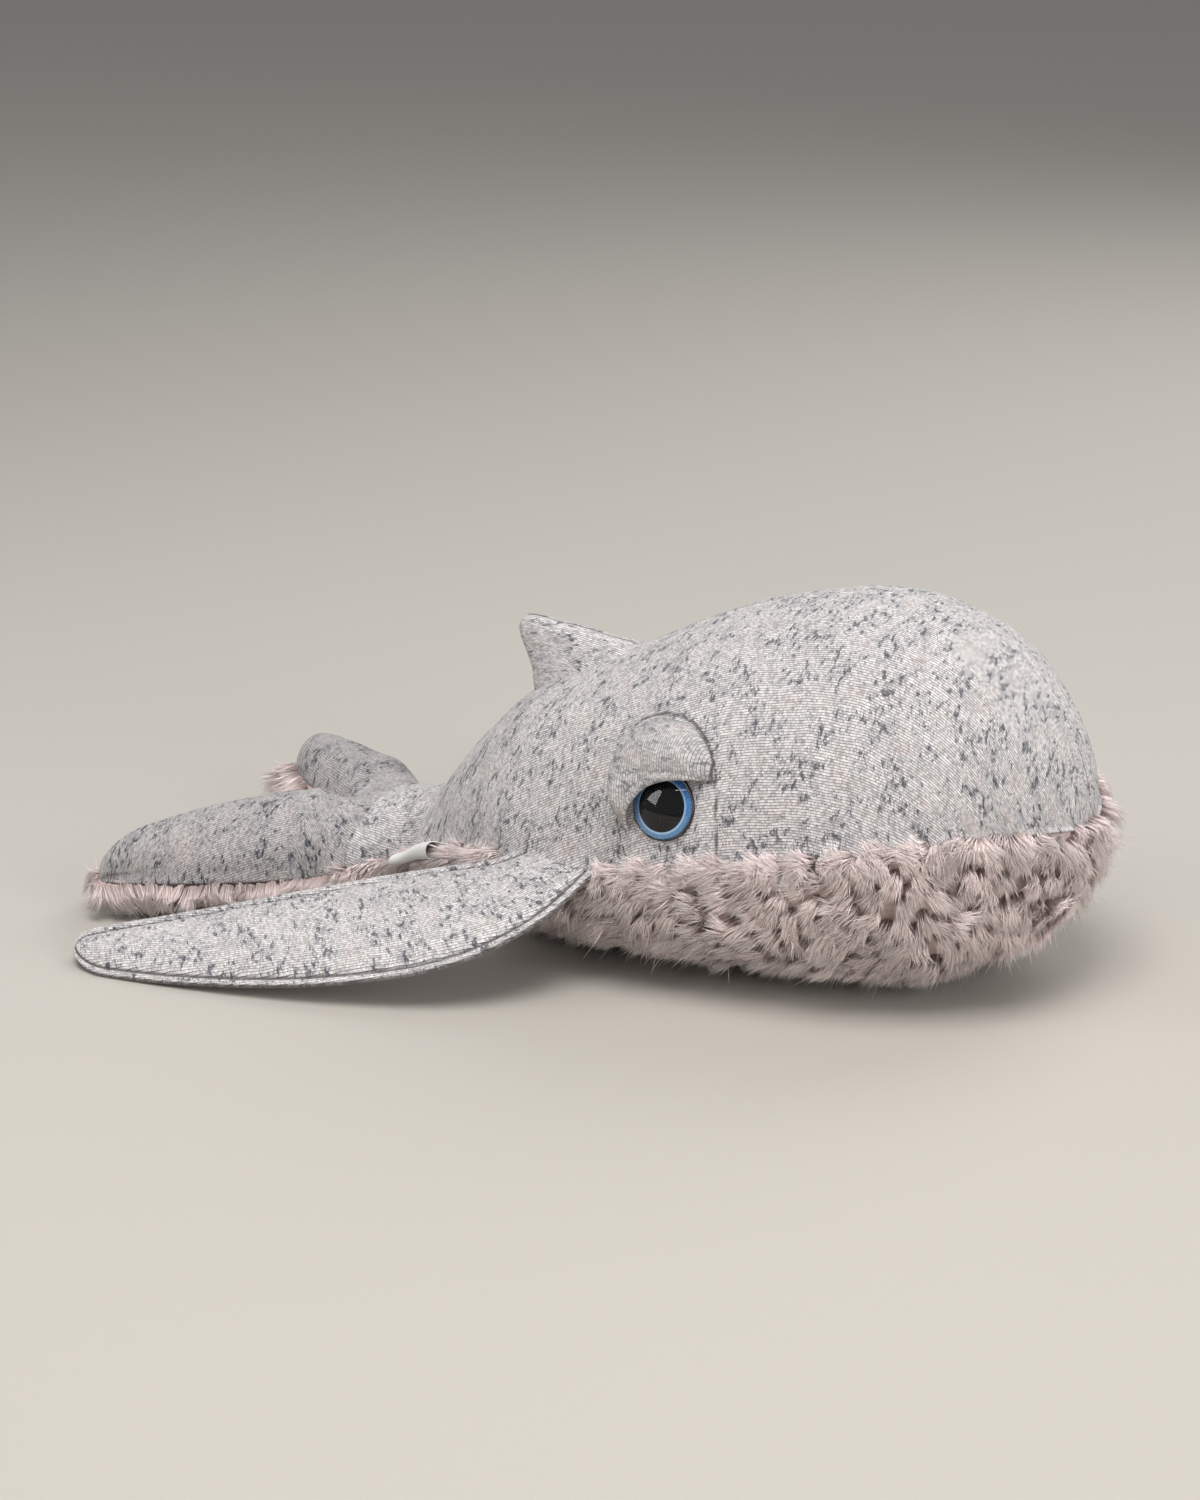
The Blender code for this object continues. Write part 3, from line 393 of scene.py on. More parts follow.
def knit_pattern():
    """Jersey's right side, worked out in millimetres from the piece's flat lay.

    Wales run along U and courses along V. Each wale is two slanting legs, so the height is
    the sine across a leg times a wave along the yarn whose phase slips with the distance
    from the wale's middle. Cells stretched along the courses are the dark slubs."""
    group, s, given, result = new_pattern(
        "heather jersey knit",
        (
            ("Yarn", "Color", YARN),
            ("Slub", "Color", SLUB),
            ("Slub Amount", "Float", 1.0),
            ("Groove", "Float", 0.55),
        ),
        (("Colour", "Color"), ("Height", "Float")),
    )
    lay = s.cloth()
    drift = s.node("ShaderNodeTexNoise", Vector=lay, Scale=0.07, Detail=2.0).outputs["Color"]
    wander = s.vector("MULTIPLY_ADD", i0=drift, i1=(2.6, 2.6, 0.0), i2=lay)[0]
    split = s.split(wander)
    wale, course = s.sum("DIVIDE", split["Y"], WALE), s.sum("DIVIDE", split["X"], COURSE)
    aside = s.sum("ABSOLUTE", s.less(s.sum("FRACT", wale), 0.5))
    leg = s.sum("SINE", s.times(aside, 2 * math.pi))
    phase = s.sum("MULTIPLY_ADD", aside, -1.3, course)
    yarn = s.sum("SINE", s.times(phase, 2 * math.pi))
    rounded = s.sum("POWER", s.sum("MAXIMUM", leg, 0.001), 0.6)
    height = s.times(rounded, s.sum("MULTIPLY_ADD", yarn, 0.28, 0.72))
    gutter = s.ramp(aside, 0.24, 0.5, 0.0, 0.68)
    stitch = s.node("ShaderNodeCombineXYZ", X=s.sum("FLOOR", phase), Y=s.sum("FLOOR", wale))
    speckle = s.node(
        "ShaderNodeTexWhiteNoise", {"noise_dimensions": "2D"}, Vector=stitch.outputs[0]
    ).outputs["Value"]

    def cells(along, across, detail=2.0, roughness=0.5):
        """Noise with cells of so many millimetres along and across the wales."""
        place = s.vector("MULTIPLY", i0=wander, i1=(1 / along, 1 / across, 1.0))[0]
        return s.noise(place, 1.0, detail, roughness)

    patch = cells(15.0, 19.0)
    limit = s.ramp(patch, 0.36, 0.64, 0.055, -0.045)
    blotch = s.less(cells(3.0, 5.6, 5.0, 0.68), limit)
    streak = s.less(cells(1.0, 2.4, 3.0, 0.7), limit)
    strong = s.times(s.ramp(blotch, 0.563, 0.615), s.ramp(speckle, 0.0, 0.6, 0.55, 1.0))
    fine = s.times(s.ramp(streak, 0.575, 0.65), 0.62)
    single = s.times(s.ramp(speckle, 0.955, 0.965), 0.6)
    dark = s.sum("MAXIMUM", strong, s.sum("MAXIMUM", fine, single))
    dark = s.times(dark, given["Slub Amount"])
    cloud = s.ramp(cells(8.0, 12.0, 4.0, 0.62), 0.48, 0.68, 0.0, 0.42)
    tone = s.mix(cloud, given["Yarn"], CLOUDY_YARN)
    tone = s.mix(s.ramp(blotch, 0.50, 0.62, 0.0, 0.34), tone, SLUB_HALO)
    warm = s.mix(s.ramp(patch, 0.46, 0.30, 0.0, 0.45), tone, WARM_YARN)
    value = s.sum("MULTIPLY_ADD", speckle, 0.62, 0.72)
    grey = s.node("ShaderNodeHueSaturation", Color=warm, Value=value).outputs[0]
    marked = s.mix(s.times(dark, 0.9), grey, given["Slub"])
    shade = s.times(gutter, given["Groove"])
    shade = s.sum("MULTIPLY_ADD", s.less(1.0, height), 0.30, shade)
    stitched = s.node("ShaderNodeAttribute", {"attribute_name": "seam"}).outputs["Fac"]
    ragged = s.sum("MULTIPLY_ADD", s.less(speckle, 0.5), 0.5, stitched)
    crease = s.ramp(ragged, SEAM_REACH - 1.2, SEAM_REACH - 0.4)
    shade = s.sum("MINIMUM", s.sum("MULTIPLY_ADD", crease, 0.75, shade), 0.96)
    s.link(s.mix(shade, marked, KNIT_SHADOW), result["Colour"])
    s.link(s.sum("MULTIPLY_ADD", crease, -1.6, height), result["Height"])
    return group


JERSEY = knit_pattern()


def jersey(name, yarn=YARN, slub_amount=1.0, groove=1.0):
    """Matt cotton blend: the knit's colour and bump under a thin sheen of loose fibre."""
    material, s, shader = new_material(
        name, Roughness=0.92, Sheen_Weight=0.12, Sheen_Roughness=0.5, Specular_IOR_Level=0.2
    )
    choice = {"Yarn": yarn, "Slub_Amount": slub_amount, "Groove": groove}
    pattern = s.node("ShaderNodeGroup", {"node_tree": JERSEY}, **choice).outputs
    bump = s.node("ShaderNodeBump", Height=pattern["Height"], Strength=0.75, Distance=0.0005)
    s.link(pattern["Colour"], shader.inputs["Base Color"])
    s.link(bump.outputs[0], shader.inputs["Normal"])
    return material


BACK_KNIT = jersey("back knit")
EYE_AT = np.array((-0.004, 0.1023))
PANEL_HALF, PANEL_UP, PANEL_DOWN = 0.034, 0.044, 0.045
PANEL_HEM = 0.001
PANEL_SINK = 0.0014
HEM_DIP = 0.0012
SIDE_PUCKER = 0.0018
CREST_PUCKER = 0.0005
PANEL_SHARES = np.array((
    (-0.42, -1.0), (-0.62, -0.62), (-0.88, -0.10), (-1.0, 0.30), (-0.93, 0.60), (-0.70, 0.82),
    (-0.30, 0.93), (0.12, 0.93), (0.45, 0.82), (0.67, 0.62), (0.79, 0.35), (0.90, -0.30),
    (1.0, -1.0),
))


def eye_spot(shares):
    """Places on the side, along and up, from shares of the eye panel."""
    up = np.where(shares[..., 1] > 0, PANEL_UP, PANEL_DOWN)
    return EYE_AT + np.stack([shares[..., 0] * PANEL_HALF, shares[..., 1] * up], axis=-1)


PANEL_LINE = eye_spot(PANEL_SHARES)
for _ in range(3):  # each time, every corner is cut off at a quarter of its two edges
    onwards = np.roll(PANEL_LINE, -1, axis=0)
    quarters = [0.75 * PANEL_LINE + 0.25 * onwards, 0.25 * PANEL_LINE + 0.75 * onwards]
    PANEL_LINE = np.stack(quarters, axis=1).reshape(-1, 2)


def outline_gap(points):
    """Distance of each point, along and up, from the eye panel's outline, less than 0 inside:
    the least distance to its edges, signed by the count of edges that a level ray crosses."""
    least, inside = np.full(points.shape[:-1], 1.0), np.zeros(points.shape[:-1], bool)
    for a, b in zip(PANEL_LINE, np.roll(PANEL_LINE, -1, axis=0)):
        edge, away = b - a, points - a
        share = np.clip((away @ edge) / (edge @ edge), 0, 1)
        least = np.minimum(least, np.linalg.norm(away - share[..., None] * edge, axis=-1))
        crosses = (a[1] > points[..., 1]) != (b[1] > points[..., 1])
        along = a[0] + away[..., 1] * edge[0] / (edge[1] if edge[1] != 0 else 1.0)
        inside ^= crosses & (points[..., 0] < along)
    return np.where(inside, -least, least)


def towards(rear, fore, count, power):
    """Shares from 0 to 1, and places from rear to fore that stand closer towards fore: one
    less what is left of the share, raised to the power."""
    share = np.linspace(0, 1, count)
    return share, rear + (fore - rear) * (1 - (1 - share) ** power)


def bell(distance, width):
    """1 at no distance, falling off both ways as e to minus the square over the width."""
    return np.exp(-((distance / width) ** 2))


for side_name, side in SIDES.items():
    share, x = towards(BEND_MIDDLE, BODY_FRONT, 210, 1.7)
    angle = np.linspace(0, math.pi / 2, 72)
    skin = on_back(x[:, None], angle[None, :], side)
    out = facing(skin) * side
    along = lengths(skin, 0)
    along = along - along[np.argmin(np.abs(x - 0.02))]
    flat = np.stack([along, -lengths(skin[:, ::-1], 1)[:, ::-1]], axis=-1)
    gap = outline_gap(skin[..., [0, 2]])
    depth = unevenness(skin)
    depth -= HEM_DIP * bell(np.minimum(gap + PANEL_HEM, 0.02), 0.0016) * (gap > -PANEL_HEM)
    depth -= np.where(gap <= -PANEL_HEM, PANEL_SINK, 0.0)
    depth = depth - SIDE_PUCKER * bell(angle * HALF_WIDTH, 0.0042)[None, :]
    depth = depth - CREST_PUCKER * bell((math.pi / 2 - angle) * BACK_RISE, 0.0012)
    depth *= np.minimum(1.0, (1 - share) / 0.02)[:, None]
    depth *= np.minimum(1.0, (x - BEND_MIDDLE) / 0.01)[:, None]
    back = sewn(
        f"{side_name}_back_knit", skin + out * depth[..., None], flat,
        wall=KNIT, material=BACK_KNIT, seam=gap * 1000,
    )
    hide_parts(f"{side_name}_back_panel")
    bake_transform(back)


# The eye panels: a patch of the same knit, greyer and with its wales upright, let into each
# side round the eye. Its border is turned under and stitched down, and its foot is caught
# under the fur.
PANEL_KNIT = jersey("eye panel knit", (0.445, 0.415, 0.40, 1.0), 0.9, 0.9)
PANEL_STAND = 0.0006
PANEL_TUCK = 0.0015
PANEL_UNDER = -0.0022


def on_side(spots, depth, side):
    """Points of the back from places along and up: the half width is the ellipse's through
    the seam and the crest, and the depth lifts each point square to the knit."""
    step = 0.0005

    def face(x, z):
        width, rise, _, seam = body_sizes(x)
        up = np.clip((z - seam) / rise, 0.0, 1.0)
        return np.stack([x, side * width * np.sqrt(1 - up**2), z], axis=-1)

    x = spots[..., 0]
    z = np.maximum(spots[..., 1], body_sizes(x)[3] + step)
    ahead, above = face(x + step, z) - face(x - step, z), face(x, z + step) - face(x, z - step)
    out = np.cross(ahead, above) * -side
    out /= np.linalg.norm(out, axis=-1, keepdims=True)
    return face(x, z) + out * np.asarray(depth)[..., None], out


for side_name, side in SIDES.items():
    border = np.concatenate([PANEL_LINE, PANEL_LINE[:1]])
    turn = np.linspace(0, len(PANEL_LINE), 240, endpoint=False)
    knots = np.arange(len(border))
    border = np.stack([np.interp(turn, knots, border[:, k]) for k in (0, 1)], axis=-1)
    outwards, returning = np.linspace(0.05, 0.9, 20), [1.0, 0.9, 0.5, 0.05]
    share = np.concatenate([outwards, np.linspace(0.91, 1.0, 10), returning])
    rings = EYE_AT + share[:, None, None] * (border[None] - EYE_AT)
    inset = -outline_gap(rings)
    depth = PANEL_STAND - PANEL_TUCK * bell(np.maximum(inset, 0), 0.0022)
    depth[-len(returning):] = PANEL_UNDER
    at_rest = on_side(rings, depth * 0, side)[0]
    skin, _ = on_side(rings, depth + unevenness(at_rest), side)
    lay = np.stack([rings[..., 1] * 1000, rings[..., 0] * 1000], axis=-1)
    panel = sewn(
        f"{side_name}_eye_patch", skin, lay, closed=True, material=PANEL_KNIT, seam=inset * 1000
    )
    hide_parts(f"{side_name}_eye_panel")
    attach(panel, "torso")

# The eyelids: a padded crescent of knit over the top and the rear of each eye, sewn to the
# panel round its outer edge and free along its rolled inner edge, which casts a shadow.
LID_KNIT = jersey("eyelid knit", (0.605, 0.575, 0.56, 1.0), 0.7, 0.8)
LID_HANG = 0.0098
LID_PUFF = 0.0085
LID_EDGE = 0.0022
LID_STEPS = 120
LID_ROWS = 34
LID_LUMP = 0.0005
LID_OUTER_SHARES = np.array((
    (0.73, 0.37), (0.70, 0.55), (0.48, 0.77), (0.11, 0.89), (-0.28, 0.89), (-0.64, 0.78),
    (-0.90, 0.60), (-0.96, 0.30), (-0.86, 0.0), (-0.66, -0.30),
))
LID_INNER_SHARES = np.array((
    (0.66, 0.35), (0.55, 0.345), (0.38, 0.33), (0.18, 0.305), (-0.03, 0.255), (-0.24, 0.17),
    (-0.38, 0.06), (-0.48, -0.07), (-0.54, -0.20), (-0.60, -0.32),
))


def smooth_rows(table, count):
    """Evenly counted rows of a table, each column a smooth line through its numbers."""
    at, knots = np.linspace(0, len(table) - 1, count), np.arange(len(table))
    return np.stack([through(at, knots, column) for column in table.T], axis=-1)


for side_name, side in SIDES.items():
    outer = eye_spot(smooth_rows(LID_OUTER_SHARES, LID_STEPS))
    inner = eye_spot(smooth_rows(LID_INNER_SHARES, LID_STEPS))
    broad = np.linalg.norm(outer - inner, axis=-1) / PANEL_HALF
    full = np.minimum(1.0, broad / 0.6)[:, None]
    over = np.sin(np.linspace(0, math.pi / 2, LID_ROWS))
    turn = np.linspace(math.pi / 2, -math.pi / 2, 12)[1:-1]
    under = np.linspace(1.0, 0.02, 14)
    puff = LID_EDGE + LID_PUFF * np.sin(math.pi * np.minimum(over, 0.93)) ** 0.7 * full
    top = LID_HANG * over**0.9 * full + puff * np.minimum(1.0, over / 0.12 + 0.1)
    low = 0.0004 + LID_HANG * under**0.9 * full
    end_top, end_low = top[:, -1:], low[:, :1]
    nose = (end_top + end_low) / 2 + (end_top - end_low) / 2 * np.sin(turn)
    roll = 1.0 + 0.055 * np.cos(turn)
    step = np.concatenate([over, roll, under])
    depth = np.concatenate([top, nose, low], axis=1)
    spots = outer[:, None] + step[None, :, None] * (inner - outer)[:, None]
    at_rest = on_side(spots, depth * 0, side)[0]
    skin, out = on_side(spots, depth + unevenness(at_rest), side)
    skin = skin + out * (LID_LUMP * lumps(skin, 0.016, 9))[..., None] * full[..., None]
    lay = 1150 * np.stack([spots[..., 1], spots[..., 0]], axis=-1)
    run = np.where(np.arange(len(step)) < LID_ROWS, step * 30.0 * full, 20.0)
    lid = sewn(f"{side_name}_lid", skin, lay, closed=True, material=LID_KNIT, seam=run)
    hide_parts(f"{side_name}_eyelid")
    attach(lid, "torso")

# The eyes: 35 mm safety eyes. A black moulded cup holds a printed iris disc under a clear
# domed cap, and its ribbed shank goes through the panel into a pressed washer behind it.
EYE_RADIUS = 0.0175
EYE_FLANGE = 0.0025
IRIS_RADIUS = 0.016
PUPIL_RADIUS = 0.0122
SHANK_RADIUS = 0.003
SHANK_LENGTH = 0.014
DOME_RISE = 0.007
DOME_EDGE = 0.0012
EYE_TURNS = 72
EYE_POLE = 0.0002
# The ring's greyer lower colour is a painted reflection, and its lighter inner line a painted
# highlight.
IRIS_LOW_REFLECTION = (0.075, 0.15, 0.25, 1.0)
IRIS_HIGH = (0.022, 0.135, 0.42, 1.0)
IRIS_SPOKE = (0.16, 0.31, 0.48, 1.0)
IRIS_LINE_HIGHLIGHT = (0.36, 0.52, 0.68, 1.0)
PUPIL_BLACK = (0.0012, 0.0012, 0.0016, 1.0)
RIM_BLACK = (0.002, 0.002, 0.003, 1.0)


def shiny(name, colour, roughness, coat=0.0):
    """A smooth moulded plastic, its gloss broken a little by handling marks."""
    material, s, shader = new_material(
        name, Base_Color=colour, Coat_Weight=coat, Coat_Roughness=0.05
    )
    smudge = s.ramp(s.noise(s.place(), 260.0, 3.0), 0.3, 0.75, roughness * 0.8, roughness * 1.4)
    s.link(smudge, shader.inputs["Roughness"])
    return material


def iris_pattern():
    """The printed disc, from its distance to the middle: a black pupil, a blue ring with fine
    spokes, and a dark outer line. Painted light is laid on the ring: a painted reflection makes
    it greyer and paler towards the bottom, and a painted highlight makes it lighter along its
    inner line."""
    group, s, given, result = new_pattern(
        "printed iris",
        (("Pupil", "Float", PUPIL_RADIUS * 1000), ("Outer", "Float", IRIS_RADIUS * 1000)),
        (("Colour", "Color"),),
    )
    lay = s.cloth()
    away, split = s.vector("LENGTH", i0=lay)["Value"], s.split(lay)
    turn = s.sum("ARCTAN2", split["Y"], split["X"])
    spoke = s.node("ShaderNodeCombineXYZ", X=s.times(turn, 9.0), Y=s.times(away, 0.5))
    fine = s.noise(spoke.outputs[0], 1.6, 2.0)
    # Painted reflection: the ring runs from a greyer, paler blue at its bottom to a deeper blue
    # at its top.
    blue = s.mix(s.ramp(split["X"], -14.0, 12.0), IRIS_LOW_REFLECTION, IRIS_HIGH)
    blue = s.mix(s.ramp(fine, 0.35, 0.75, 0.0, 0.5), blue, IRIS_SPOKE)
    line = s.less(away, given["Pupil"])
    # Painted highlight: a lighter line along the ring's inner edge, by the pupil.
    blue = s.mix(s.ramp(line, 1.5, 0.4, 0.0, 0.7), blue, IRIS_LINE_HIGHLIGHT)
    inside = s.mix(s.ramp(line, -0.15, 0.15), PUPIL_BLACK, blue)
    rim = s.ramp(s.less(given["Outer"], away), 0.55, 0.15)
    s.link(s.mix(rim, inside, RIM_BLACK), result["Colour"])
    return group


BLACK_PLASTIC = shiny("black plastic", (0.0018, 0.0018, 0.002, 1.0), 0.24, 0.4)
WASHER_PLASTIC = shiny("washer plastic", (0.62, 0.62, 0.60, 1.0), 0.42)
IRIS_PRINT, s, shader = new_material("iris print", Roughness=0.6, Specular_IOR_Level=0.0)
printed = s.node("ShaderNodeGroup", {"node_tree": iris_pattern()})
s.link(printed.outputs["Colour"], shader.inputs["Base Color"])
# The cap is clear to the lamps' shadow rays, so that light reaches the iris under it.
CLEAR_CAP = shiny("clear acrylic", (1.0, 1.0, 1.0, 1.0), 0.05)
shader = CLEAR_CAP.node_tree.nodes["Principled BSDF"]
shader.inputs["Transmission Weight"].default_value = 1.0
shader.inputs["IOR"].default_value = 1.49
s = Sheet(CLEAR_CAP.node_tree)
shadow_ray = s.node("ShaderNodeLightPath").outputs["Is Shadow Ray"]
let_through = s.node("ShaderNodeBsdfTransparent").outputs[0]
either = s.node("ShaderNodeMixShader", i0=shadow_ray, i1=shader.outputs[0], i2=let_through)
s.link(either.outputs[0], s.tree.nodes["Material Output"].inputs["Surface"])


def turned(name, profile, seat, out, material):
    """A profile of radius and height, turned round the eye's axis into a closed solid. A
    sharp corner gets one more point close by on each side, so that its faces shade flat."""
    up = np.cross(out, (1.0, 0.0, 0.0))
    up = up / np.linalg.norm(up)
    up = up * np.sign(up[2])
    side_way = np.cross(up, out)
    straight, near = 0.93, 0.00008
    places = [np.array(place) for place in profile]
    held = []
    for before, here, after in zip(places[:1] + places[:-1], places, places[1:] + places[-1:]):
        one, two = here - before, after - here
        if one @ two > straight * np.linalg.norm(one) * np.linalg.norm(two) > 0:
            held.append(here)
            continue
        for other in (before, here, after):
            away = np.linalg.norm(other - here)
            held.append(here + (other - here) * min(near / max(away, 1e-9), 0.3))
    profile = np.array(held)
    angles = np.linspace(0, 2 * math.pi, EYE_TURNS, endpoint=False)
    around = np.cos(angles)[:, None] * up + np.sin(angles)[:, None] * side_way
    points = seat + profile[:, :1, None] * around[None] + profile[:, 1:, None] * out
    circle = np.stack([np.cos(angles), np.sin(angles)], axis=-1)
    lay = 1000 * profile[:, :1, None] * circle[None]
    return sewn(name, points, lay, closed=True, material=material)


def arc(radius, height, start, end, size, count):
    """Points of a circle's arc: degrees from straight out, round towards the front."""
    a = np.radians(np.linspace(start, end, count))
    return list(zip(radius + size * np.cos(a), height + size * np.sin(a)))


for side_name, side in SIDES.items():
    seat, out = on_side(EYE_AT, 0.0003, side)
    recess = EYE_FLANGE - 0.0009
    well, groove = IRIS_RADIUS + 0.0001, SHANK_RADIUS - 0.0004
    cup = [(EYE_POLE, recess), (well, recess), (well, EYE_FLANGE - 0.0002)]
    cup += arc(EYE_RADIUS - 0.0008, EYE_FLANGE - 0.0006, 90, 0, 0.0008, 6)
    cup += [(EYE_RADIUS, 0.0006), (EYE_RADIUS - 0.0006, 0.0), (SHANK_RADIUS, 0.0)]
    for rib in np.arange(0.0035, SHANK_LENGTH - 0.002, 0.002):
        cup += [(SHANK_RADIUS, -rib), (groove, -rib - 0.0006), (groove, -rib - 0.0014)]
    cup += [(groove, 0.0006 - SHANK_LENGTH), (SHANK_RADIUS - 0.001, -SHANK_LENGTH)]
    cup += [(EYE_POLE, -SHANK_LENGTH)]
    disc = [(EYE_POLE, recess + 0.0007), (IRIS_RADIUS, recess + 0.0007)]
    disc += [(IRIS_RADIUS, recess + 0.0002), (EYE_POLE, recess + 0.0002)]
    base = EYE_FLANGE + 0.0002
    reach, lift = EYE_RADIUS - 0.0003, DOME_RISE - DOME_EDGE
    ball = (reach**2 + lift**2) / (2 * lift)
    centre = base + DOME_EDGE + lift - ball
    dome = [(EYE_POLE, base + DOME_RISE)]
    dome += [(r, centre + math.sqrt(ball**2 - r**2)) for r in reach * np.linspace(0.05, 1, 16)]
    dome += [(reach, base + 0.0002), (reach - 0.0004, base), (IRIS_RADIUS - 0.0001, base)]
    dome += [(IRIS_RADIUS - 0.0002, base - 0.0007), (EYE_POLE, base - 0.0007)]
    for label, profile, material, slot, node in (
        ("cup", cup, BLACK_PLASTIC, "eye_black", "eye_cup"),
        ("iris", disc, IRIS_PRINT, "iris", "iris_disc"),
        ("cap", dome, CLEAR_CAP, "clear", "eye_lens"),
    ):
        piece = turned(f"{side_name}_eye_{label}_turned", profile, seat, out, material)
        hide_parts(f"{side_name}_{node}")
        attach(piece, "torso")
    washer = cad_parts[f"{side_name}_eye_washer"]
    washer.data.materials.clear()
    washer.data.materials.append(WASHER_PLASTIC)

# The flippers: two leaves of knit over a thin pad, sewn face to face and turned, then
# topstitched 5.5 mm inside the edge, so that a flat rim stands round the padded blade. Each
# is caught in the side seam along its root.
FLIPPER_KNIT = jersey("flipper knit", (0.78, 0.745, 0.73, 1.0), 1.0, 0.9)
FLIPPER_LENGTH = 0.257
FLIPPER_CHORD = 0.070
FLIPPER_PUFF = 0.0062
FLIPPER_RIM = 0.0055
FLIPPER_EDGE = 0.0016
FLIPPER_GROOVE = 0.0014
FLIPPER_WALL = 0.0007
FLIPPER_ROWS = 120
FLIPPER_CURL = 0.0145
FLIPPER_ROOT = -0.043
FLIPPER_ROOT_STAND = 0.0023
FLIPPER_ROOT_SINK = 0.0017
FLIPPER_ROOT_LENGTH = 0.053
FLIPPER_TUCK = 0.0026
FLIPPER_START = 0.371
ROOT_YAW = math.radians(13.5)
ROOT_FALL = math.radians(1.1)
BLADE_TURN = {-1: math.radians(34.4), 1: math.radians(51.0)}
BLADE_DROOP = {-1: math.radians(25.6), 1: math.radians(19.0)}
LEAD_SHARES = np.array((
    (0.0, 0.54), (0.11, 0.79), (0.25, 0.91), (0.40, 0.88), (0.55, 0.79), (0.70, 0.65),
    (0.83, 0.50), (0.93, 0.36), (0.985, 0.18), (1.0, 0.05),
))
TRAIL_SHARES = np.array((
    (0.14, -0.21), (0.21, -0.24), (0.31, -0.27), (0.43, -0.28), (0.56, -0.27), (0.70, -0.25),
    (0.83, -0.23), (0.93, -0.21), (0.985, -0.17), (1.0, -0.08),
))
PUFF_SHARES = np.array((0.0, 0.62, 0.86, 1.0, 1.0, 0.97, 0.90, 0.78, 0.62, 0.40, 0.28))


def flipper_axes(side):
    """The root's front end, and the unit vectors back along the root, out and up from it."""
    level = np.array((-math.cos(ROOT_YAW), -side * math.sin(ROOT_YAW), 0.0))
    back = level * math.cos(ROOT_FALL) - np.array((0.0, 0.0, math.sin(ROOT_FALL)))
    beside = np.array((-math.sin(ROOT_YAW), side * math.cos(ROOT_YAW), 0.0))
    droop = BLADE_DROOP[side]
    out = beside * math.cos(droop) - np.cross(beside, back) * side * math.sin(droop)
    width, _, _, seam = body_sizes(FLIPPER_ROOT)
    root = np.array((FLIPPER_ROOT, side * (width + FLIPPER_ROOT_STAND), seam - FLIPPER_ROOT_SINK))
    return root, back, out, np.cross(out, back) * side


def flipper_blade(side, count):
    """Leading and trailing edges in evenly counted rows, the blade's up, and its puff."""
    root, back, out, up = flipper_axes(side)
    lean = BLADE_TURN[side]
    axis = back * math.cos(lean) + out * math.sin(lean)
    across = out * math.cos(lean) - back * math.sin(lean)
    start = root + back * FLIPPER_CHORD * FLIPPER_START
    edges = []
    for table, run in ((LEAD_SHARES, 0.0), (TRAIL_SHARES, FLIPPER_ROOT_LENGTH)):
        places = start + np.outer(table[:, 0], axis) * FLIPPER_LENGTH
        places = places + np.outer(table[:, 1], across) * FLIPPER_CHORD
        places = places + np.outer(FLIPPER_CURL * table[:, 0] ** 2, up)
        places = np.concatenate([[root + back * run - out * FLIPPER_TUCK], places])
        edges.append(smooth_rows(places, count))
    return (*edges, up, FLIPPER_PUFF * smooth_rows(PUFF_SHARES[:, None], count)[:, 0])


def blade_height(inset, puff):
    """Half thickness of the blade by the distance inside its edge: a rounded rim, a groove
    pulled in by the thread, then the pad's rise, which is steep at first and flat inside."""
    rim = FLIPPER_EDGE * np.sqrt(1 - np.clip(1 - inset / FLIPPER_EDGE, 0, 1) ** 2)
    rise = 1 - np.exp(-np.maximum(inset - FLIPPER_RIM, 0) / 0.009)
    groove = FLIPPER_GROOVE * bell(inset - FLIPPER_RIM, 0.0012)
    return np.maximum(rim + puff * rise - groove, 0.0)


for side_name, side in SIDES.items():
    lead, trail, up, puff = flipper_blade(side, FLIPPER_ROWS)
    across = 0.5 - 0.5 * np.cos(np.linspace(0, math.pi, 52))
    middle = lead[:, None] + across[None, :, None] * (trail - lead)[:, None]
    chord = np.linalg.norm(trail - lead, axis=-1)[:, None]
    inset = np.minimum(across, 1 - across)[None] * chord
    last = np.clip((np.arange(FLIPPER_ROWS) - FLIPPER_ROWS + 7) / 6.0, 0, 1)
    tip = np.sqrt(1 - last**2)[:, None]
    run = lengths(middle, 0)[:, 26:27]
    lay = np.stack([run + 0 * across, lengths(middle, 1) - 1000 * chord / 2], axis=-1)
    stitched = 1000 * np.minimum(np.abs(inset - FLIPPER_RIM), inset + 0.0004)
    for label, face in (("upper", 1), ("lower", -1)):
        bumps = 0.0007 * lumps(middle, 0.05, 11 + face) * np.clip(inset / 0.012 - 0.5, 0, 1)
        height = blade_height(inset, puff[:, None]) * tip + bumps * tip
        skin = middle + (face * height)[..., None] * up
        leaf = sewn(
            f"{side_name}_flipper_{label}_leaf", skin[:, ::face], lay[:, ::face],
            wall=FLIPPER_WALL, material=FLIPPER_KNIT, seam=stitched[:, ::face],
        )
        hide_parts(f"{side_name}_flipper_{label}_cover")
        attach(leaf, f"{side_name}_flipper")

# The fin: two knit covers over a stuffed cone, swept back, and sewn down round its foot.
FIN_PLACE = np.array((-0.098, 0.0, 0.14147))
FIN_SLOPE = math.radians(27.0)
FIN_LENGTH = 0.056
FIN_RISE = 0.034
FIN_HALF_WIDTH = 0.0145
FIN_WALL = 0.0009
FIN_PUCKER = 0.0009
FIN_FLARE_TOP = 0.30
FIN_STATIONS = np.array((0.0, 0.25, 0.5, 0.72, 0.88, 0.97, 1.0))
FIN_FRONTS = np.array((0.50, 0.36, 0.16, -0.04, -0.17, -0.26, -0.31))
FIN_REARS = np.array((-0.50, -0.47, -0.46, -0.45, -0.43, -0.37, -0.31))
FIN_WIDTHS = np.array((1.0, 0.86, 0.70, 0.56, 0.40, 0.22, 0.0))
fin_along = np.array((math.cos(FIN_SLOPE), 0.0, math.sin(FIN_SLOPE)))
fin_up = np.array((-math.sin(FIN_SLOPE), 0.0, math.cos(FIN_SLOPE)))


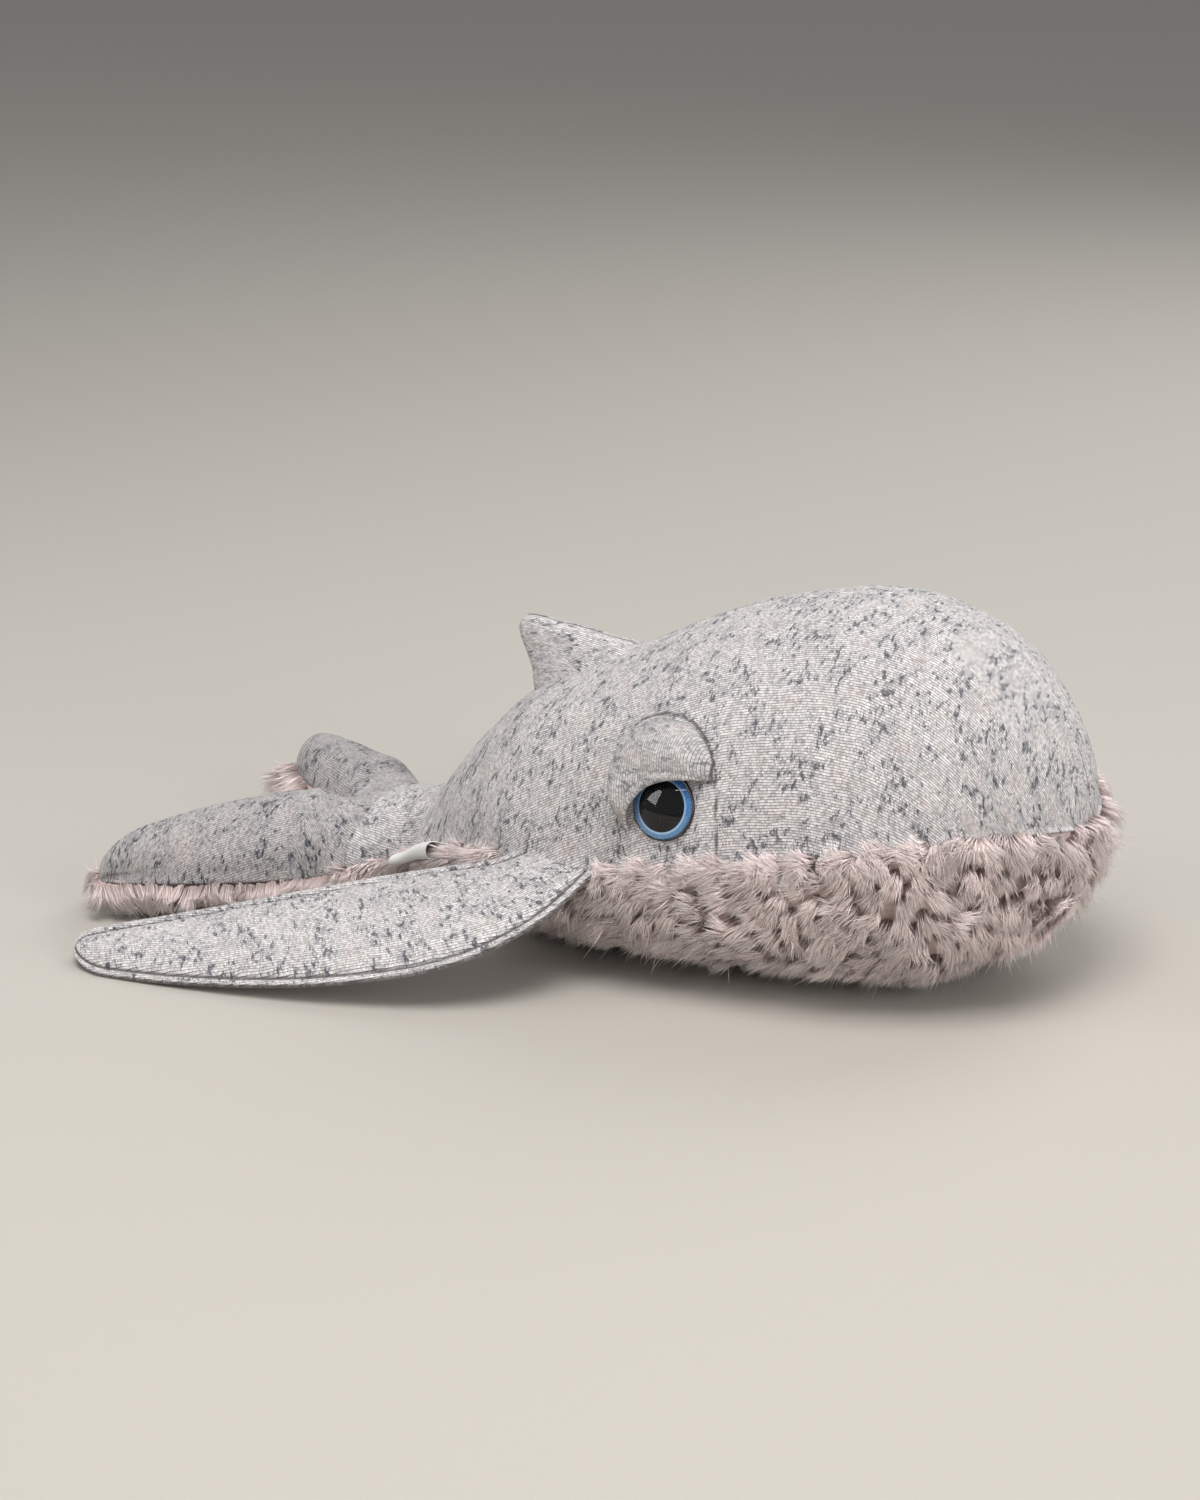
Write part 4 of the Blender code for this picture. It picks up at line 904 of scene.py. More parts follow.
def fin_sizes(share):
    """Front edge, rear edge and half width at shares of the fin's height: smooth lines
    through its tables, for the width through the squares, so that the top is round."""
    front = through(share, FIN_STATIONS, FIN_FRONTS) * FIN_LENGTH
    rear = through(share, FIN_STATIONS, FIN_REARS) * FIN_LENGTH
    half = np.sqrt(np.maximum(through(share, FIN_STATIONS, FIN_WIDTHS**2), 0))
    return front, rear, half * FIN_HALF_WIDTH


for side_name, side in SIDES.items():
    share = np.concatenate([np.linspace(-0.28, 0, 12)[:-1], towards(0, 1, 56, 1.6)[1]])
    flare = np.where(share < FIN_FLARE_TOP, (FIN_FLARE_TOP - share) ** 2 * 0.022, 0.0)
    front, rear, half = fin_sizes(np.clip(share, 0, 1))
    front, rear, half = front + 2.2 * flare, rear - 0.5 * flare, half + flare
    angle = np.linspace(0, math.pi, 60)
    height = share * FIN_RISE
    foot = FIN_PLACE + height[:, None] * fin_up
    middle = foot + ((front + rear) / 2)[:, None] * fin_along
    reach = ((front - rear) / 2)[:, None, None] * np.cos(angle)[None, :, None] * fin_along
    bulge = half[:, None] * np.sin(angle) ** 0.8
    pucker = FIN_PUCKER * bell(np.minimum(angle, math.pi - angle), 0.09)
    bulge = np.maximum(bulge - pucker * np.clip(half / 0.004, 0, 1)[:, None], 0)
    skin = middle[:, None] + reach + bulge[..., None] * np.array((0.0, side, 0.0))
    run = lengths(skin, 1)
    lay = np.stack([height[:, None] * 1000 + 0 * angle, run], axis=-1)
    stitched = np.minimum(run, run[:, -1:] - run) + 0.3
    cover = sewn(
        f"{side_name}_fin_cover", skin, lay, wall=FIN_WALL, material=BACK_KNIT, seam=stitched
    )
    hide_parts(f"dorsal_fin_{side_name}_cover")
    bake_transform(cover)

# The belly: long pile fur, sewn to the knit along the sides, from the chin to the tail. The
# pile stands in tufts that were brushed apart and lean over one another. Each fibre is painted
# darker towards the woven backing, as the shade deep in the pile, and paler at its tip, as
# painted light.
BELLY_SQUARE = 0.8
TUFT_GAP = 0.0075
TUFT_LENGTH = 0.0160
TUFT_STRANDS = 88
TUFT_FOOT = 0.0031
TUFT_HOLD = 0.0004
TUFT_LEAN = 0.62
TUFT_FRAY = 0.0011
TUFT_FAN_ONWARD, TUFT_FAN_ASIDE = 1.5, 2.6
STRAY_SHARE, STRAY_REACH = 0.07, 0.0042
STRAND_RADIUS = 0.00024
STRAND_STEPS = np.array((0.0, 0.55, 1.0))
HEM_TUFTS = 96
UNDER_FLIPPER = 0.0024
FLIPPER_MARGIN = 0.004
PUSH_LIMIT = 0.016
# Painted shade at the fibres' roots and painted light at their tips, with the pile's own dusty
# pink between.
FUR_ROOT_SHADE = (0.66, 0.525, 0.50, 1.0)
FUR_MIDDLE = (0.95, 0.815, 0.79, 1.0)
FUR_TIP_LIGHT = (1.0, 0.93, 0.91, 1.0)
# The backing's two tones are its weave; both are painted darker than the pile, as the shade seen
# deep between the tufts.
SHADED_BACKING_DARK = (0.48, 0.375, 0.35, 1.0)
SHADED_BACKING_PALE = (0.62, 0.50, 0.47, 1.0)


def fur_pattern():
    """Colour along a fibre: painted shade makes it dark at the root, it is dusty pink along it,
    and painted light makes it pale at the tip. U holds a tuft's and a fibre's own tone, and V
    runs from the root to the tip."""
    group, s, given, result = new_pattern(
        "pile fur",
        (("Root", "Color", FUR_ROOT_SHADE), ("Middle", "Color", FUR_MIDDLE), ("Tip", "Color", FUR_TIP_LIGHT)),
        (("Colour", "Color"),),
    )
    split = s.split(s.cloth())
    # Painted shade darkens each fibre towards its root, and painted light makes it pale towards
    # its tip.
    low = s.mix(s.ramp(split["Y"], 0.0, 0.38), given["Root"], given["Middle"])
    high = s.mix(s.ramp(split["Y"], 0.50, 1.0), low, given["Tip"])
    tone = s.ramp(split["X"], 0.0, 1.0, 0.78, 1.14)
    toned = s.node("ShaderNodeHueSaturation", Color=high, Value=tone)
    s.link(toned.outputs[0], result["Colour"])
    return group


FUR, s, shader = new_material("dusty pink fur", Roughness=0.6, Specular_IOR_Level=0.25)
printed = s.node("ShaderNodeGroup", {"node_tree": fur_pattern()})
s.link(printed.outputs["Colour"], shader.inputs["Base Color"])
# Painted shade: the backing is darker than the pile so that it reads as the shade between the
# tufts, over a real woven noise.
FUR_BACK, s, shader = new_material("fur backing", Roughness=0.95)
woven = s.ramp(s.noise(s.place(), 300.0, 3.0), 0.3, 0.7)
s.link(s.mix(woven, SHADED_BACKING_DARK, SHADED_BACKING_PALE), shader.inputs["Base Color"])


def on_belly(x, angle, side):
    """A point of the fur's backing: square rounded below the seam, so that the sides drop
    more steeply and the bottom lies flatter than an ellipse's."""
    width, _, drop, seam = body_sizes(x)
    across, down = np.cos(angle) ** BELLY_SQUARE, np.sin(angle) ** BELLY_SQUARE
    return np.stack([x + 0 * angle, side * width * across, seam - drop * down], axis=-1)


def unit(vectors):
    """Vectors brought to length 1, and those of no length left as they are."""
    size = np.linalg.norm(vectors, axis=-1, keepdims=True)
    return vectors / np.where(size > 1e-12, size, 1.0)


def laid(lays, normals, share=1.0):
    """Directions less a share of their part along the normals, at length 1."""
    return unit(lays - share * (lays * normals).sum(axis=-1, keepdims=True) * normals)


def spread_out(skin, gap, seed):
    """Places scattered over a grid of points, no two nearer than the gap: of many random
    ones, weighted by each cell's area, the ones that no earlier one stands too near."""
    random = np.random.default_rng(seed)
    a, b = skin[1:, :-1] - skin[:-1, :-1], skin[:-1, 1:] - skin[:-1, :-1]
    area = np.linalg.norm(np.cross(a, b), axis=-1).ravel()
    count = int(area.sum() / gap**2 * 9)
    cell = random.choice(len(area), count, p=area / area.sum())
    row, column = np.divmod(cell, skin.shape[1] - 1)
    u, v = random.random(count)[:, None], random.random(count)[:, None]
    points = skin[row, column] + u * a[row, column] + v * b[row, column]
    normals = facing(skin)[row, column]
    kept = []
    for i in range(count):
        if not kept or (np.linalg.norm(points[kept] - points[i], axis=-1) > gap).all():
            kept.append(i)
    return points[kept], normals[kept]


def pile(name, roots, normals, lays, length, seed, push=None):
    """Tufts of fibres as one mesh of thin pointed prisms.

    A tuft's fibres start over a small disc on the backing, rise along the normal, bend over
    into the lay and open into a flat fan with a frayed end. Each is a quadratic Bezier curve
    with two flat triangular rings, whose broad side faces out, and a pointed tip, and a push
    moves its points afterwards."""
    random = np.random.default_rng(seed)
    tufts = len(roots)
    every = (tufts, TUFT_STRANDS)
    aside = unit(np.cross(normals, lays))
    tall = (length * random.uniform(0.82, 1.18, tufts))[:, None]
    rise = random.uniform(0.50, 0.90, tufts)[:, None]
    swing = random.normal(0, 0.16, tufts)[:, None]
    head = roots + tall * (rise * normals + TUFT_LEAN * lays + swing * aside)
    turn, away = random.uniform(0, 2 * math.pi, every), np.sqrt(random.random(every))
    reach = TUFT_FOOT * away[..., None]
    onward = reach * np.cos(turn)[..., None] * lays[:, None]
    sideways = reach * np.sin(turn)[..., None] * aside[:, None]
    offset = onward + sideways
    start = roots[:, None] + offset - TUFT_HOLD * normals[:, None]
    fray = random.normal(0, TUFT_FRAY, (*every, 3))
    end = head[:, None] + onward * TUFT_FAN_ONWARD + sideways * TUFT_FAN_ASIDE + fray
    bow = tall * (0.60 * normals + 0.16 * lays - 0.9 * swing * aside)
    middle = roots[:, None] + offset * 1.3 + bow[:, None]
    stray = random.random((*every, 1)) < STRAY_SHARE
    end = np.where(stray, end + random.normal(0, STRAY_REACH, end.shape), end)
    cut = random.uniform(0.66, 1.0, every)[..., None, None]
    t = STRAND_STEPS[None, None, :, None] * cut
    start, middle, end = start[:, :, None], middle[:, :, None], end[:, :, None]
    line = (1 - t) ** 2 * start + 2 * t * (1 - t) * middle + t**2 * end
    if push is not None:
        line = push(line)
    above_floor = 0.0005 + 0.0007 * random.random(line.shape[:-1])
    line[..., 2] = np.maximum(line[..., 2], above_floor)
    tangent = unit(np.gradient(line, axis=2))
    outward = normals[:, None, None] + random.normal(0, 0.4, (*every, 1, 3))
    across = unit(np.cross(tangent, outward))
    other = np.cross(tangent, across)
    radius = STRAND_RADIUS * random.uniform(0.75, 1.2, every)[..., None] * np.array((1.0, 0.95))
    corner = np.radians((90.0, 210.0, 330.0))
    broad = 1.15 * np.cos(corner)[:, None] * across[:, :, :2, None]
    flat = 0.45 * np.sin(corner)[:, None] * other[:, :, :2, None]
    ring = line[:, :, :2, None] + radius[..., None, None] * (broad + flat)
    count = tufts * TUFT_STRANDS
    points = [ring.reshape(count, 6, 3), line[:, :, 2].reshape(count, 1, 3)]
    points = np.concatenate(points, axis=1)
    quads = [[k, (k + 1) % 3, 3 + (k + 1) % 3, 3 + k] for k in range(3)]
    tips = [[3 + k, 3 + (k + 1) % 3, 6] for k in range(3)] + [[2, 1, 0]]
    one = np.concatenate([np.ravel(quads), np.ravel(tips)])
    sizes = np.tile([4] * 3 + [3] * 4, count)
    corners = (one[None] + 7 * np.arange(count)[:, None]).ravel()
    mesh = bpy.data.meshes.new(name)
    mesh.vertices.add(count * 7)
    mesh.vertices.foreach_set("co", points.astype(np.float32).ravel())
    mesh.loops.add(len(corners))
    mesh.loops.foreach_set("vertex_index", corners.astype(np.int32))
    mesh.polygons.add(len(sizes))
    mesh.polygons.foreach_set("loop_start", (np.cumsum(sizes) - sizes).astype(np.int32))
    mesh.update(calc_edges=True)
    tone = np.clip(0.62 * random.random((tufts, 1)) + 0.38 * random.random(every), 0, 1)
    along = np.repeat(STRAND_STEPS, (3, 3, 1))[None] * cut.reshape(count, 1)
    lay = np.stack(np.broadcast_arrays(tone.reshape(count, 1), along), axis=-1)
    cloth = mesh.uv_layers.new(name="cloth")
    cloth.data.foreach_set("uv", lay.reshape(-1, 2)[corners].astype(np.float32).ravel())
    mesh.materials.append(FUR)
    piece = bpy.data.objects.new(name, mesh)
    bpy.context.scene.collection.objects.link(piece)
    return piece


def clear_of_flippers(points):
    """Presses the pile down where a flipper lies over it: a point above the blade's lower
    face, inside its outline, goes straight down from the blade to just under that face."""
    for side in SIDES.values():
        lead, trail, up, puff = flipper_blade(side, 60)
        centre, half = (lead + trail) / 2, np.linalg.norm(lead - trail, axis=-1) / 2
        level = centre @ up
        flat = (points - (points @ up)[..., None] * up)[..., None, :]
        flat = flat - (centre - level[:, None] * up)
        nearest = np.argmin((flat**2).sum(axis=-1), axis=-1)
        apart = np.take_along_axis(flat, nearest[..., None, None], -2)[..., 0, :]
        inside = np.linalg.norm(apart, axis=-1) < half[nearest] + FLIPPER_MARGIN
        inside &= points[..., 1] * side > 0.05
        top = level[nearest] - UNDER_FLIPPER - 0.9 * puff[nearest]
        over = np.where(inside, np.maximum(points @ up - top, 0), 0)
        points = points - np.minimum(over, PUSH_LIMIT)[..., None] * up
    return points


BELLY_BANDS = (
    ("chin", 0.090, 0.186), ("breast", 0.0, 0.090), ("belly", -0.090, 0.0),
    ("vent", -0.166, -0.090), ("stock", -0.192, -0.166),
)

for side_name, side in SIDES.items():
    x = towards(BEND_MIDDLE, BODY_FRONT, 100, 1.7)[1]
    angle = np.linspace(0, math.pi / 2, 30)
    skin = on_belly(x[:, None], angle[None, :], side)
    web = sewn(f"{side_name}_belly_backing", skin, wall=KNIT, material=FUR_BACK)
    if side < 0:
        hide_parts("belly_fur_panel")
    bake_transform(web)
    roots, normals = spread_out(skin, TUFT_GAP, 21 + side)
    outward = (normals * (roots - (0.0, 0.0, 0.085))).sum(axis=-1, keepdims=True)
    normals = normals * np.sign(outward)
    height = (roots[:, 2] - 0.002) / np.maximum(body_sizes(roots[:, 0])[3], 0.01)
    down = np.stack([-0.45 + 0 * height, side * (0.9 - height), -0.9 * height - 0.1], axis=-1)
    down = laid(down, normals)
    veer = 0.9 * lumps(roots, 0.085, 31) + 0.55 * lumps(roots, 0.030, 37)
    veer = veer + np.where(height > 0.86, 0.9 * lumps(roots, 0.018, 41), 0.0)
    veer = veer * np.where(height > 0.7, np.clip((0.17 - roots[:, 0]) / 0.05, 0.35, 1), 1)
    lays = np.cos(veer)[:, None] * down + np.sin(veer)[:, None] * np.cross(normals, down)
    # The hem is a row of tufts along the side seam, which stand out and fall both ways.
    random = np.random.default_rng(43 + side)
    hem = np.linspace(BEND_MIDDLE + 0.004, 0.172, HEM_TUFTS)
    hem = on_belly(hem + random.uniform(-0.001, 0.001, HEM_TUFTS), 0.0, side)
    level = 0.0 * hem[:, 0]
    hem_out = [np.clip((hem[:, 0] - 0.12) / 0.05, 0, 2), side + level, 0.1 + level]
    hem_out = unit(np.stack(hem_out, axis=-1))
    hem_veer = random.choice((-1, 1), HEM_TUFTS) * random.uniform(0.5, 2.1, HEM_TUFTS)
    hem_veer = (hem_veer * np.clip((0.17 - hem[:, 0]) / 0.05, 0.35, 1))[:, None]
    hem_down = unit(np.cross(hem_out, np.cross((-0.3, 0.0, -1.0), hem_out)))
    hem_lay = np.cos(hem_veer) * hem_down + np.sin(hem_veer) * np.cross(hem_out, hem_down)
    shown = (height > 0.1) | (np.arange(len(height)) % 4 == 0)
    roots = np.concatenate([roots[shown], hem - TUFT_HOLD * hem_out])
    normals = np.concatenate([normals[shown], hem_out])
    lays = np.concatenate([lays[shown], hem_lay])
    for label, rear, fore in BELLY_BANDS:
        chosen = (roots[:, 0] >= rear) & (roots[:, 0] < fore)
        tufts = pile(
            f"{side_name}_{label}_fur", roots[chosen], normals[chosen], lays[chosen],
            TUFT_LENGTH, 51 + side, push=clear_of_flippers,
        )
        if rear < BEND_START + 0.002:
            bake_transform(tufts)
        else:
            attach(tufts, "torso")

# The tail: the back's knit runs on over the neck and over two plump lobes, one skin on each
# side. The two skins meet along the middle as far as the crotch, and past it each turns
# round its lobe to a seam with the fur that lies under the tail.
TAIL_KNIT = jersey("tail knit", (0.555, 0.525, 0.51, 1.0), 1.1, 0.9)
NECK_KNIT = jersey("neck knit", (0.76, 0.73, 0.715, 1.0), 1.0, 1.0)
TAIL_ROWS = np.array((
    # leading seam x, y, z, inner edge x, y, z, its height underneath, rise, drop, turn, tilt
    (-0.2130, 0.0541, 0.0240, -0.2130, 0.0000, 0.0547, 0.0120, 0.0307, 0.0120, 90.0, 0.0),
    (-0.2190, 0.0580, 0.0225, -0.2240, 0.0000, 0.0525, 0.0122, 0.0318, 0.0110, 106.0, 0.3),
    (-0.2255, 0.0612, 0.0213, -0.2340, 0.0000, 0.0468, 0.0170, 0.0320, 0.0105, 130.0, 0.6),
    (-0.2320, 0.0650, 0.0205, -0.2412, 0.0004, 0.0400, 0.0290, 0.0318, 0.0105, 158.0, 0.9),
    (-0.2410, 0.0705, 0.0200, -0.2475, 0.0062, 0.0370, 0.0368, 0.0310, 0.0110, 180.0, 1.0),
    (-0.2560, 0.0795, 0.0195, -0.2620, 0.0185, 0.0362, 0.0362, 0.0300, 0.0115, 180.0, 1.0),
    (-0.2740, 0.0903, 0.0195, -0.2830, 0.0365, 0.0352, 0.0352, 0.0288, 0.0115, 180.0, 1.0),
    (-0.2930, 0.1010, 0.0198, -0.3030, 0.0575, 0.0336, 0.0336, 0.0262, 0.0105, 180.0, 1.0),
    (-0.3090, 0.1090, 0.0202, -0.3185, 0.0790, 0.0308, 0.0308, 0.0215, 0.0085, 180.0, 1.0),
    (-0.3205, 0.1142, 0.0206, -0.3285, 0.0985, 0.0262, 0.0262, 0.0145, 0.0055, 180.0, 1.0),
    (-0.3262, 0.1165, 0.0209, -0.3305, 0.1100, 0.0230, 0.0230, 0.0078, 0.0030, 180.0, 1.0),
    (-0.3290, 0.1169, 0.0212, -0.3292, 0.1163, 0.0214, 0.0214, 0.0004, 0.0002, 180.0, 1.0),
))
LOBE_WALL = 0.001
NECK_TUFT_GAP, NECK_TUFT_LENGTH = 0.0078, 0.0135
LOBE_TUFT_GAP, LOBE_TUFT_LENGTH = 0.0072, 0.0165
FOLD_HEIGHT = 0.0011
FOLD_SPACING = 0.0062
EDGE_PINCH = 0.0016
LOBE_LUMP = 0.0012


def tail_skin(rows, columns, side):
    """Upper and lower grids of one side of the tail, from its leading seam to its inner edge.

    Each row is part of an ellipse that stands on the leading seam: it turns a quarter round
    at the neck, so that the two sides meet on top, and half round past the crotch. The base
    is the chord over one less the cosine of the turn."""
    at = np.linspace(0, len(TAIL_ROWS) - 1, rows)
    table = smooth_rows(TAIL_ROWS, rows)
    lead, inner = table[:, 0:3] * (1, side, 1), table[:, 3:6] * (1, side, 1)
    under = np.stack([inner[:, 0], inner[:, 1], table[:, 6]], axis=-1)
    tilt = table[:, 10:11]
    up = unit(np.concatenate([0.107 * tilt, side * 0.178 * tilt, 1 + 0 * tilt], axis=-1))
    turn = np.radians(table[:, 9:10])
    grids = []
    for edge, height, sign, flat in (
        (inner, table[:, 7:8], 1, 0.14), (under, table[:, 8:9], -1, 0.0)
    ):
        lift = sign * np.maximum(height, 0.0002) * up
        arm = (lead - edge + lift * np.sin(turn)) / (1 - np.cos(turn))
        theta = turn * np.linspace(0, 1, columns)[None]
        swell = np.maximum(np.sin(theta), 0.0) ** (1 - flat * np.clip(at / 2, 0, 1)[:, None])
        middle = (lead - arm)[:, None]
        arc_out = np.cos(theta)[..., None] * arm[:, None]
        grids.append(middle + arc_out + swell[..., None] * lift[:, None])
    return grids


def fluke_bend(piece):
    """Bakes a piece's placement into its mesh; the piece is not bent where its lobe would flap.
    """
    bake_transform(piece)


for side_name, side in SIDES.items():
    x = np.linspace(BEND_END, BEND_MIDDLE, 40)[:, None]
    quarter = np.linspace(0, math.pi / 2, 96)
    skin = on_back(x, quarter[None], side)
    out = facing(skin)
    out = out * np.sign(out[..., 2:3] + 1e-9)
    arch = np.sin(quarter)
    fold = FOLD_HEIGHT * np.sin((x - BEND_MIDDLE) / FOLD_SPACING * math.pi + 2.0 * arch) * arch
    for inside in (BEND_MIDDLE - x, x - BEND_END):
        fold = fold * np.clip(inside / 0.004, 0, 1)
    lay = np.stack([x * 1000 + 0 * quarter, -lengths(skin[:, ::-1], 1)[:, ::-1]], axis=-1)
    wrap = skin + out * fold[..., None]
    wrap = sewn(f"{side_name}_neck_knit", wrap, lay, wall=KNIT, material=NECK_KNIT)
    web = on_belly(x, quarter[None], side)
    web = sewn(f"{side_name}_neck_backing", web, wall=KNIT, material=FUR_BACK)
    if side < 0:
        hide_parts("tail_fork_top")
        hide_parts("tail_fork_fur")
    skin = on_belly(x[::3], quarter[None, ::4], side)
    roots, normals = spread_out(skin, NECK_TUFT_GAP, 61 + side)
    brim = on_belly(np.linspace(BEND_END, BEND_MIDDLE, 7), 0.0, side)
    roots = np.concatenate([roots, brim])
    normals = np.concatenate([normals, brim * 0 + (0.0, side, 0.0)])
    outward = (normals * (roots - (0.0, 0.0, 0.05)) * (0, 1, 1)).sum(axis=-1, keepdims=True)
    normals = normals * np.where(outward > 0, 1, -1)
    tangle = np.random.default_rng(65 + side).normal(0, 0.3, roots.shape)
    lays = laid(unit(np.array((-0.7, 0.3 * side, -0.6)) + tangle), normals, 0.8)
    tufts = pile(f"{side_name}_neck_fur", roots, normals, lays, NECK_TUFT_LENGTH, 67 + side)
    for piece in (wrap, web, tufts):
        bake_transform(piece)
    top, low = tail_skin(150, 60, side)
    out = facing(top)
    out = out * np.sign(out[..., 2:3] + 1e-9)
    pinch = bell(np.linspace(0, 1, 60), 0.035) * EDGE_PINCH
    plump = LOBE_LUMP * lumps(top, 0.045, 61) * np.sin(np.linspace(0, math.pi, 60))
    row = np.arange(150)
    ends = np.clip(np.minimum(row / 8, (149 - row) / 20), 0, 1)[:, None]
    run = -lengths(top, 0)[:, 30:31] + 1000 * BEND_END + 0 * pinch
    lay = np.stack([run, -lengths(top[:, ::-1], 1)[:, ::-1]], axis=-1)
    lobe = sewn(
        f"{side_name}_tail_knit", top + out * ((plump - pinch) * ends)[..., None], lay,
        wall=LOBE_WALL, material=TAIL_KNIT, seam=lengths(top, 1),
    )
    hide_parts(f"{side_name}_fluke_top")
    fluke_bend(lobe)
    sole = tail_skin(76, 31, side)[1]
    sole = sewn(f"{side_name}_tail_backing", sole, wall=LOBE_WALL, material=FUR_BACK)
    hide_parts(f"{side_name}_fluke_fur")
    fluke_bend(sole)
    roots, normals = spread_out(low[::3, ::2], LOBE_TUFT_GAP, 71 + side)
    normals = normals * np.where(normals[:, 2:3] > 0, -1.0, 1.0)
    ridge = top[:, 30]
    edge, tip = top[4:-3:4, 0], top[88:-4:4, -1]
    away = unit(edge - ridge[4:-3:4])
    beyond = unit(tip - ridge[88:-4:4] + (-0.01, 0.0, 0.0))
    roots = np.concatenate([roots, edge + (0.0, 0.0, -0.0008), tip + (0.0, 0.0, -0.0012)])
    fringe = [unit(away + (0.0, 0.0, -0.35)), unit(beyond + (0.0, 0.0, -0.1))]
    normals = np.concatenate([normals, *fringe])
    nearest = np.argmin(((roots[:, None] - ridge[None]) ** 2).sum(-1), axis=1)
    outwards = unit(roots - ridge[nearest])
    tangle = np.random.default_rng(91 + side).normal(0, 0.42, roots.shape)
    lays = laid(outwards * (1, 1, 0.3) + np.array((-0.60, 0.0, -0.45)) + tangle, normals, 0.7)
    tufts = pile(f"{side_name}_tail_fur", roots, normals, lays, LOBE_TUFT_LENGTH, 81 + side)
    fluke_bend(tufts)

# The label: a short plain white ribbon folded into a loop, its ends caught in the right side
# seam near the tail.
RIBBON_WIDTH = 0.034
RIBBON_DEPTH = 0.0165
RIBBON_LOOP = 0.0044
RIBBON_WALL = 0.0005
RIBBON_X = -0.165
RIBBON, s, shader = new_material("white ribbon", Roughness=0.5, Sheen_Weight=0.2)
weave = s.node(
    "ShaderNodeTexWave", {"bands_direction": "Y"},
    Vector=s.cloth(), Scale=1.3, Distortion=0.6, Detail=2.0,
).outputs["Fac"]
bump = s.node("ShaderNodeBump", Height=weave, Strength=0.3, Distance=0.0001)
woven = s.mix(weave, (0.74, 0.73, 0.70, 1.0), (0.84, 0.83, 0.80, 1.0))
s.link(woven, shader.inputs["Base Color"])
s.link(bump.outputs[0], shader.inputs["Normal"])

along = np.linspace(-0.5, 0.5, 60)
bend = np.linspace(-1, 1, 60)[:, None]
x = RIBBON_X + along * RIBBON_WIDTH
width, _, _, seam = body_sizes(x)
foot = np.stack([x, -width - 0.0002, seam + 0.0022], axis=-1)
out = unit(np.array((-0.008, -0.015, -0.0015)))
over = np.array((0.0, -out[2], out[1])) * -1
depth = RIBBON_DEPTH * np.cos(bend * math.pi / 2) ** 0.75
open_up = (RIBBON_LOOP * (0.72 + 0.5 * (along + 0.5)) * np.sin(bend * math.pi)) + 0.0007 * bend
sway = 0.0012 * np.sin(along * 3.0 + 0.6) * (depth / RIBBON_DEPTH)
points = foot[None] + depth[..., None] * out + (open_up + sway)[..., None] * over
lay = np.stack([bend * 16.0 + 0 * along, 1000 * x[None] + 0 * bend], axis=-1)
label = sewn("ribbon_loop", points, lay, wall=RIBBON_WALL, material=RIBBON)
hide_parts("label_loop")
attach(label, "torso")

# The stuffing: loose white polyester fibre, which fills the body, the neck, the tail and
# the fin, and a thin pad of the same in each flipper.
FIBRE, s, shader = new_material("polyester fibre", Roughness=1.0, Sheen_Weight=0.3)
tangle = s.noise(s.place(), 240.0, 5.0, 0.7)
bump = s.node("ShaderNodeBump", Height=tangle, Strength=0.8, Distance=0.002)
loose = s.mix(tangle, (0.66, 0.66, 0.65, 1.0), (0.84, 0.84, 0.83, 1.0))
s.link(loose, shader.inputs["Base Color"])
s.link(bump.outputs[0], shader.inputs["Normal"])


def wadding(name, rings, node, inset=0.003):
    """A closed lump of fibre from rings round a middle line, each drawn in by the inset."""
    middle = rings.mean(axis=1, keepdims=True)
    away = np.linalg.norm(rings - middle, axis=-1, keepdims=True)
    rings = middle + (rings - middle) * np.maximum(1 - inset / np.maximum(away, 1e-6), 0.3)
    lump = sewn(name, rings, closed=True, material=FIBRE)
    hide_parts(node)
    return lump


def body_rings(rear, fore, count):
    """Whole rings of the body, over the back and under the belly."""
    x = towards(rear, fore, count, 1.6)[1][:, None]
    quarter = np.linspace(0, math.pi / 2, 33)[None]
    right, left = on_back(x, quarter, -1), on_back(x, quarter, 1)[:, ::-1]
    low_left, low_right = on_belly(x, quarter, 1), on_belly(x, quarter, -1)[:, ::-1]
    return np.concatenate([part[:, :-1] for part in (right, left, low_left, low_right)], axis=1)
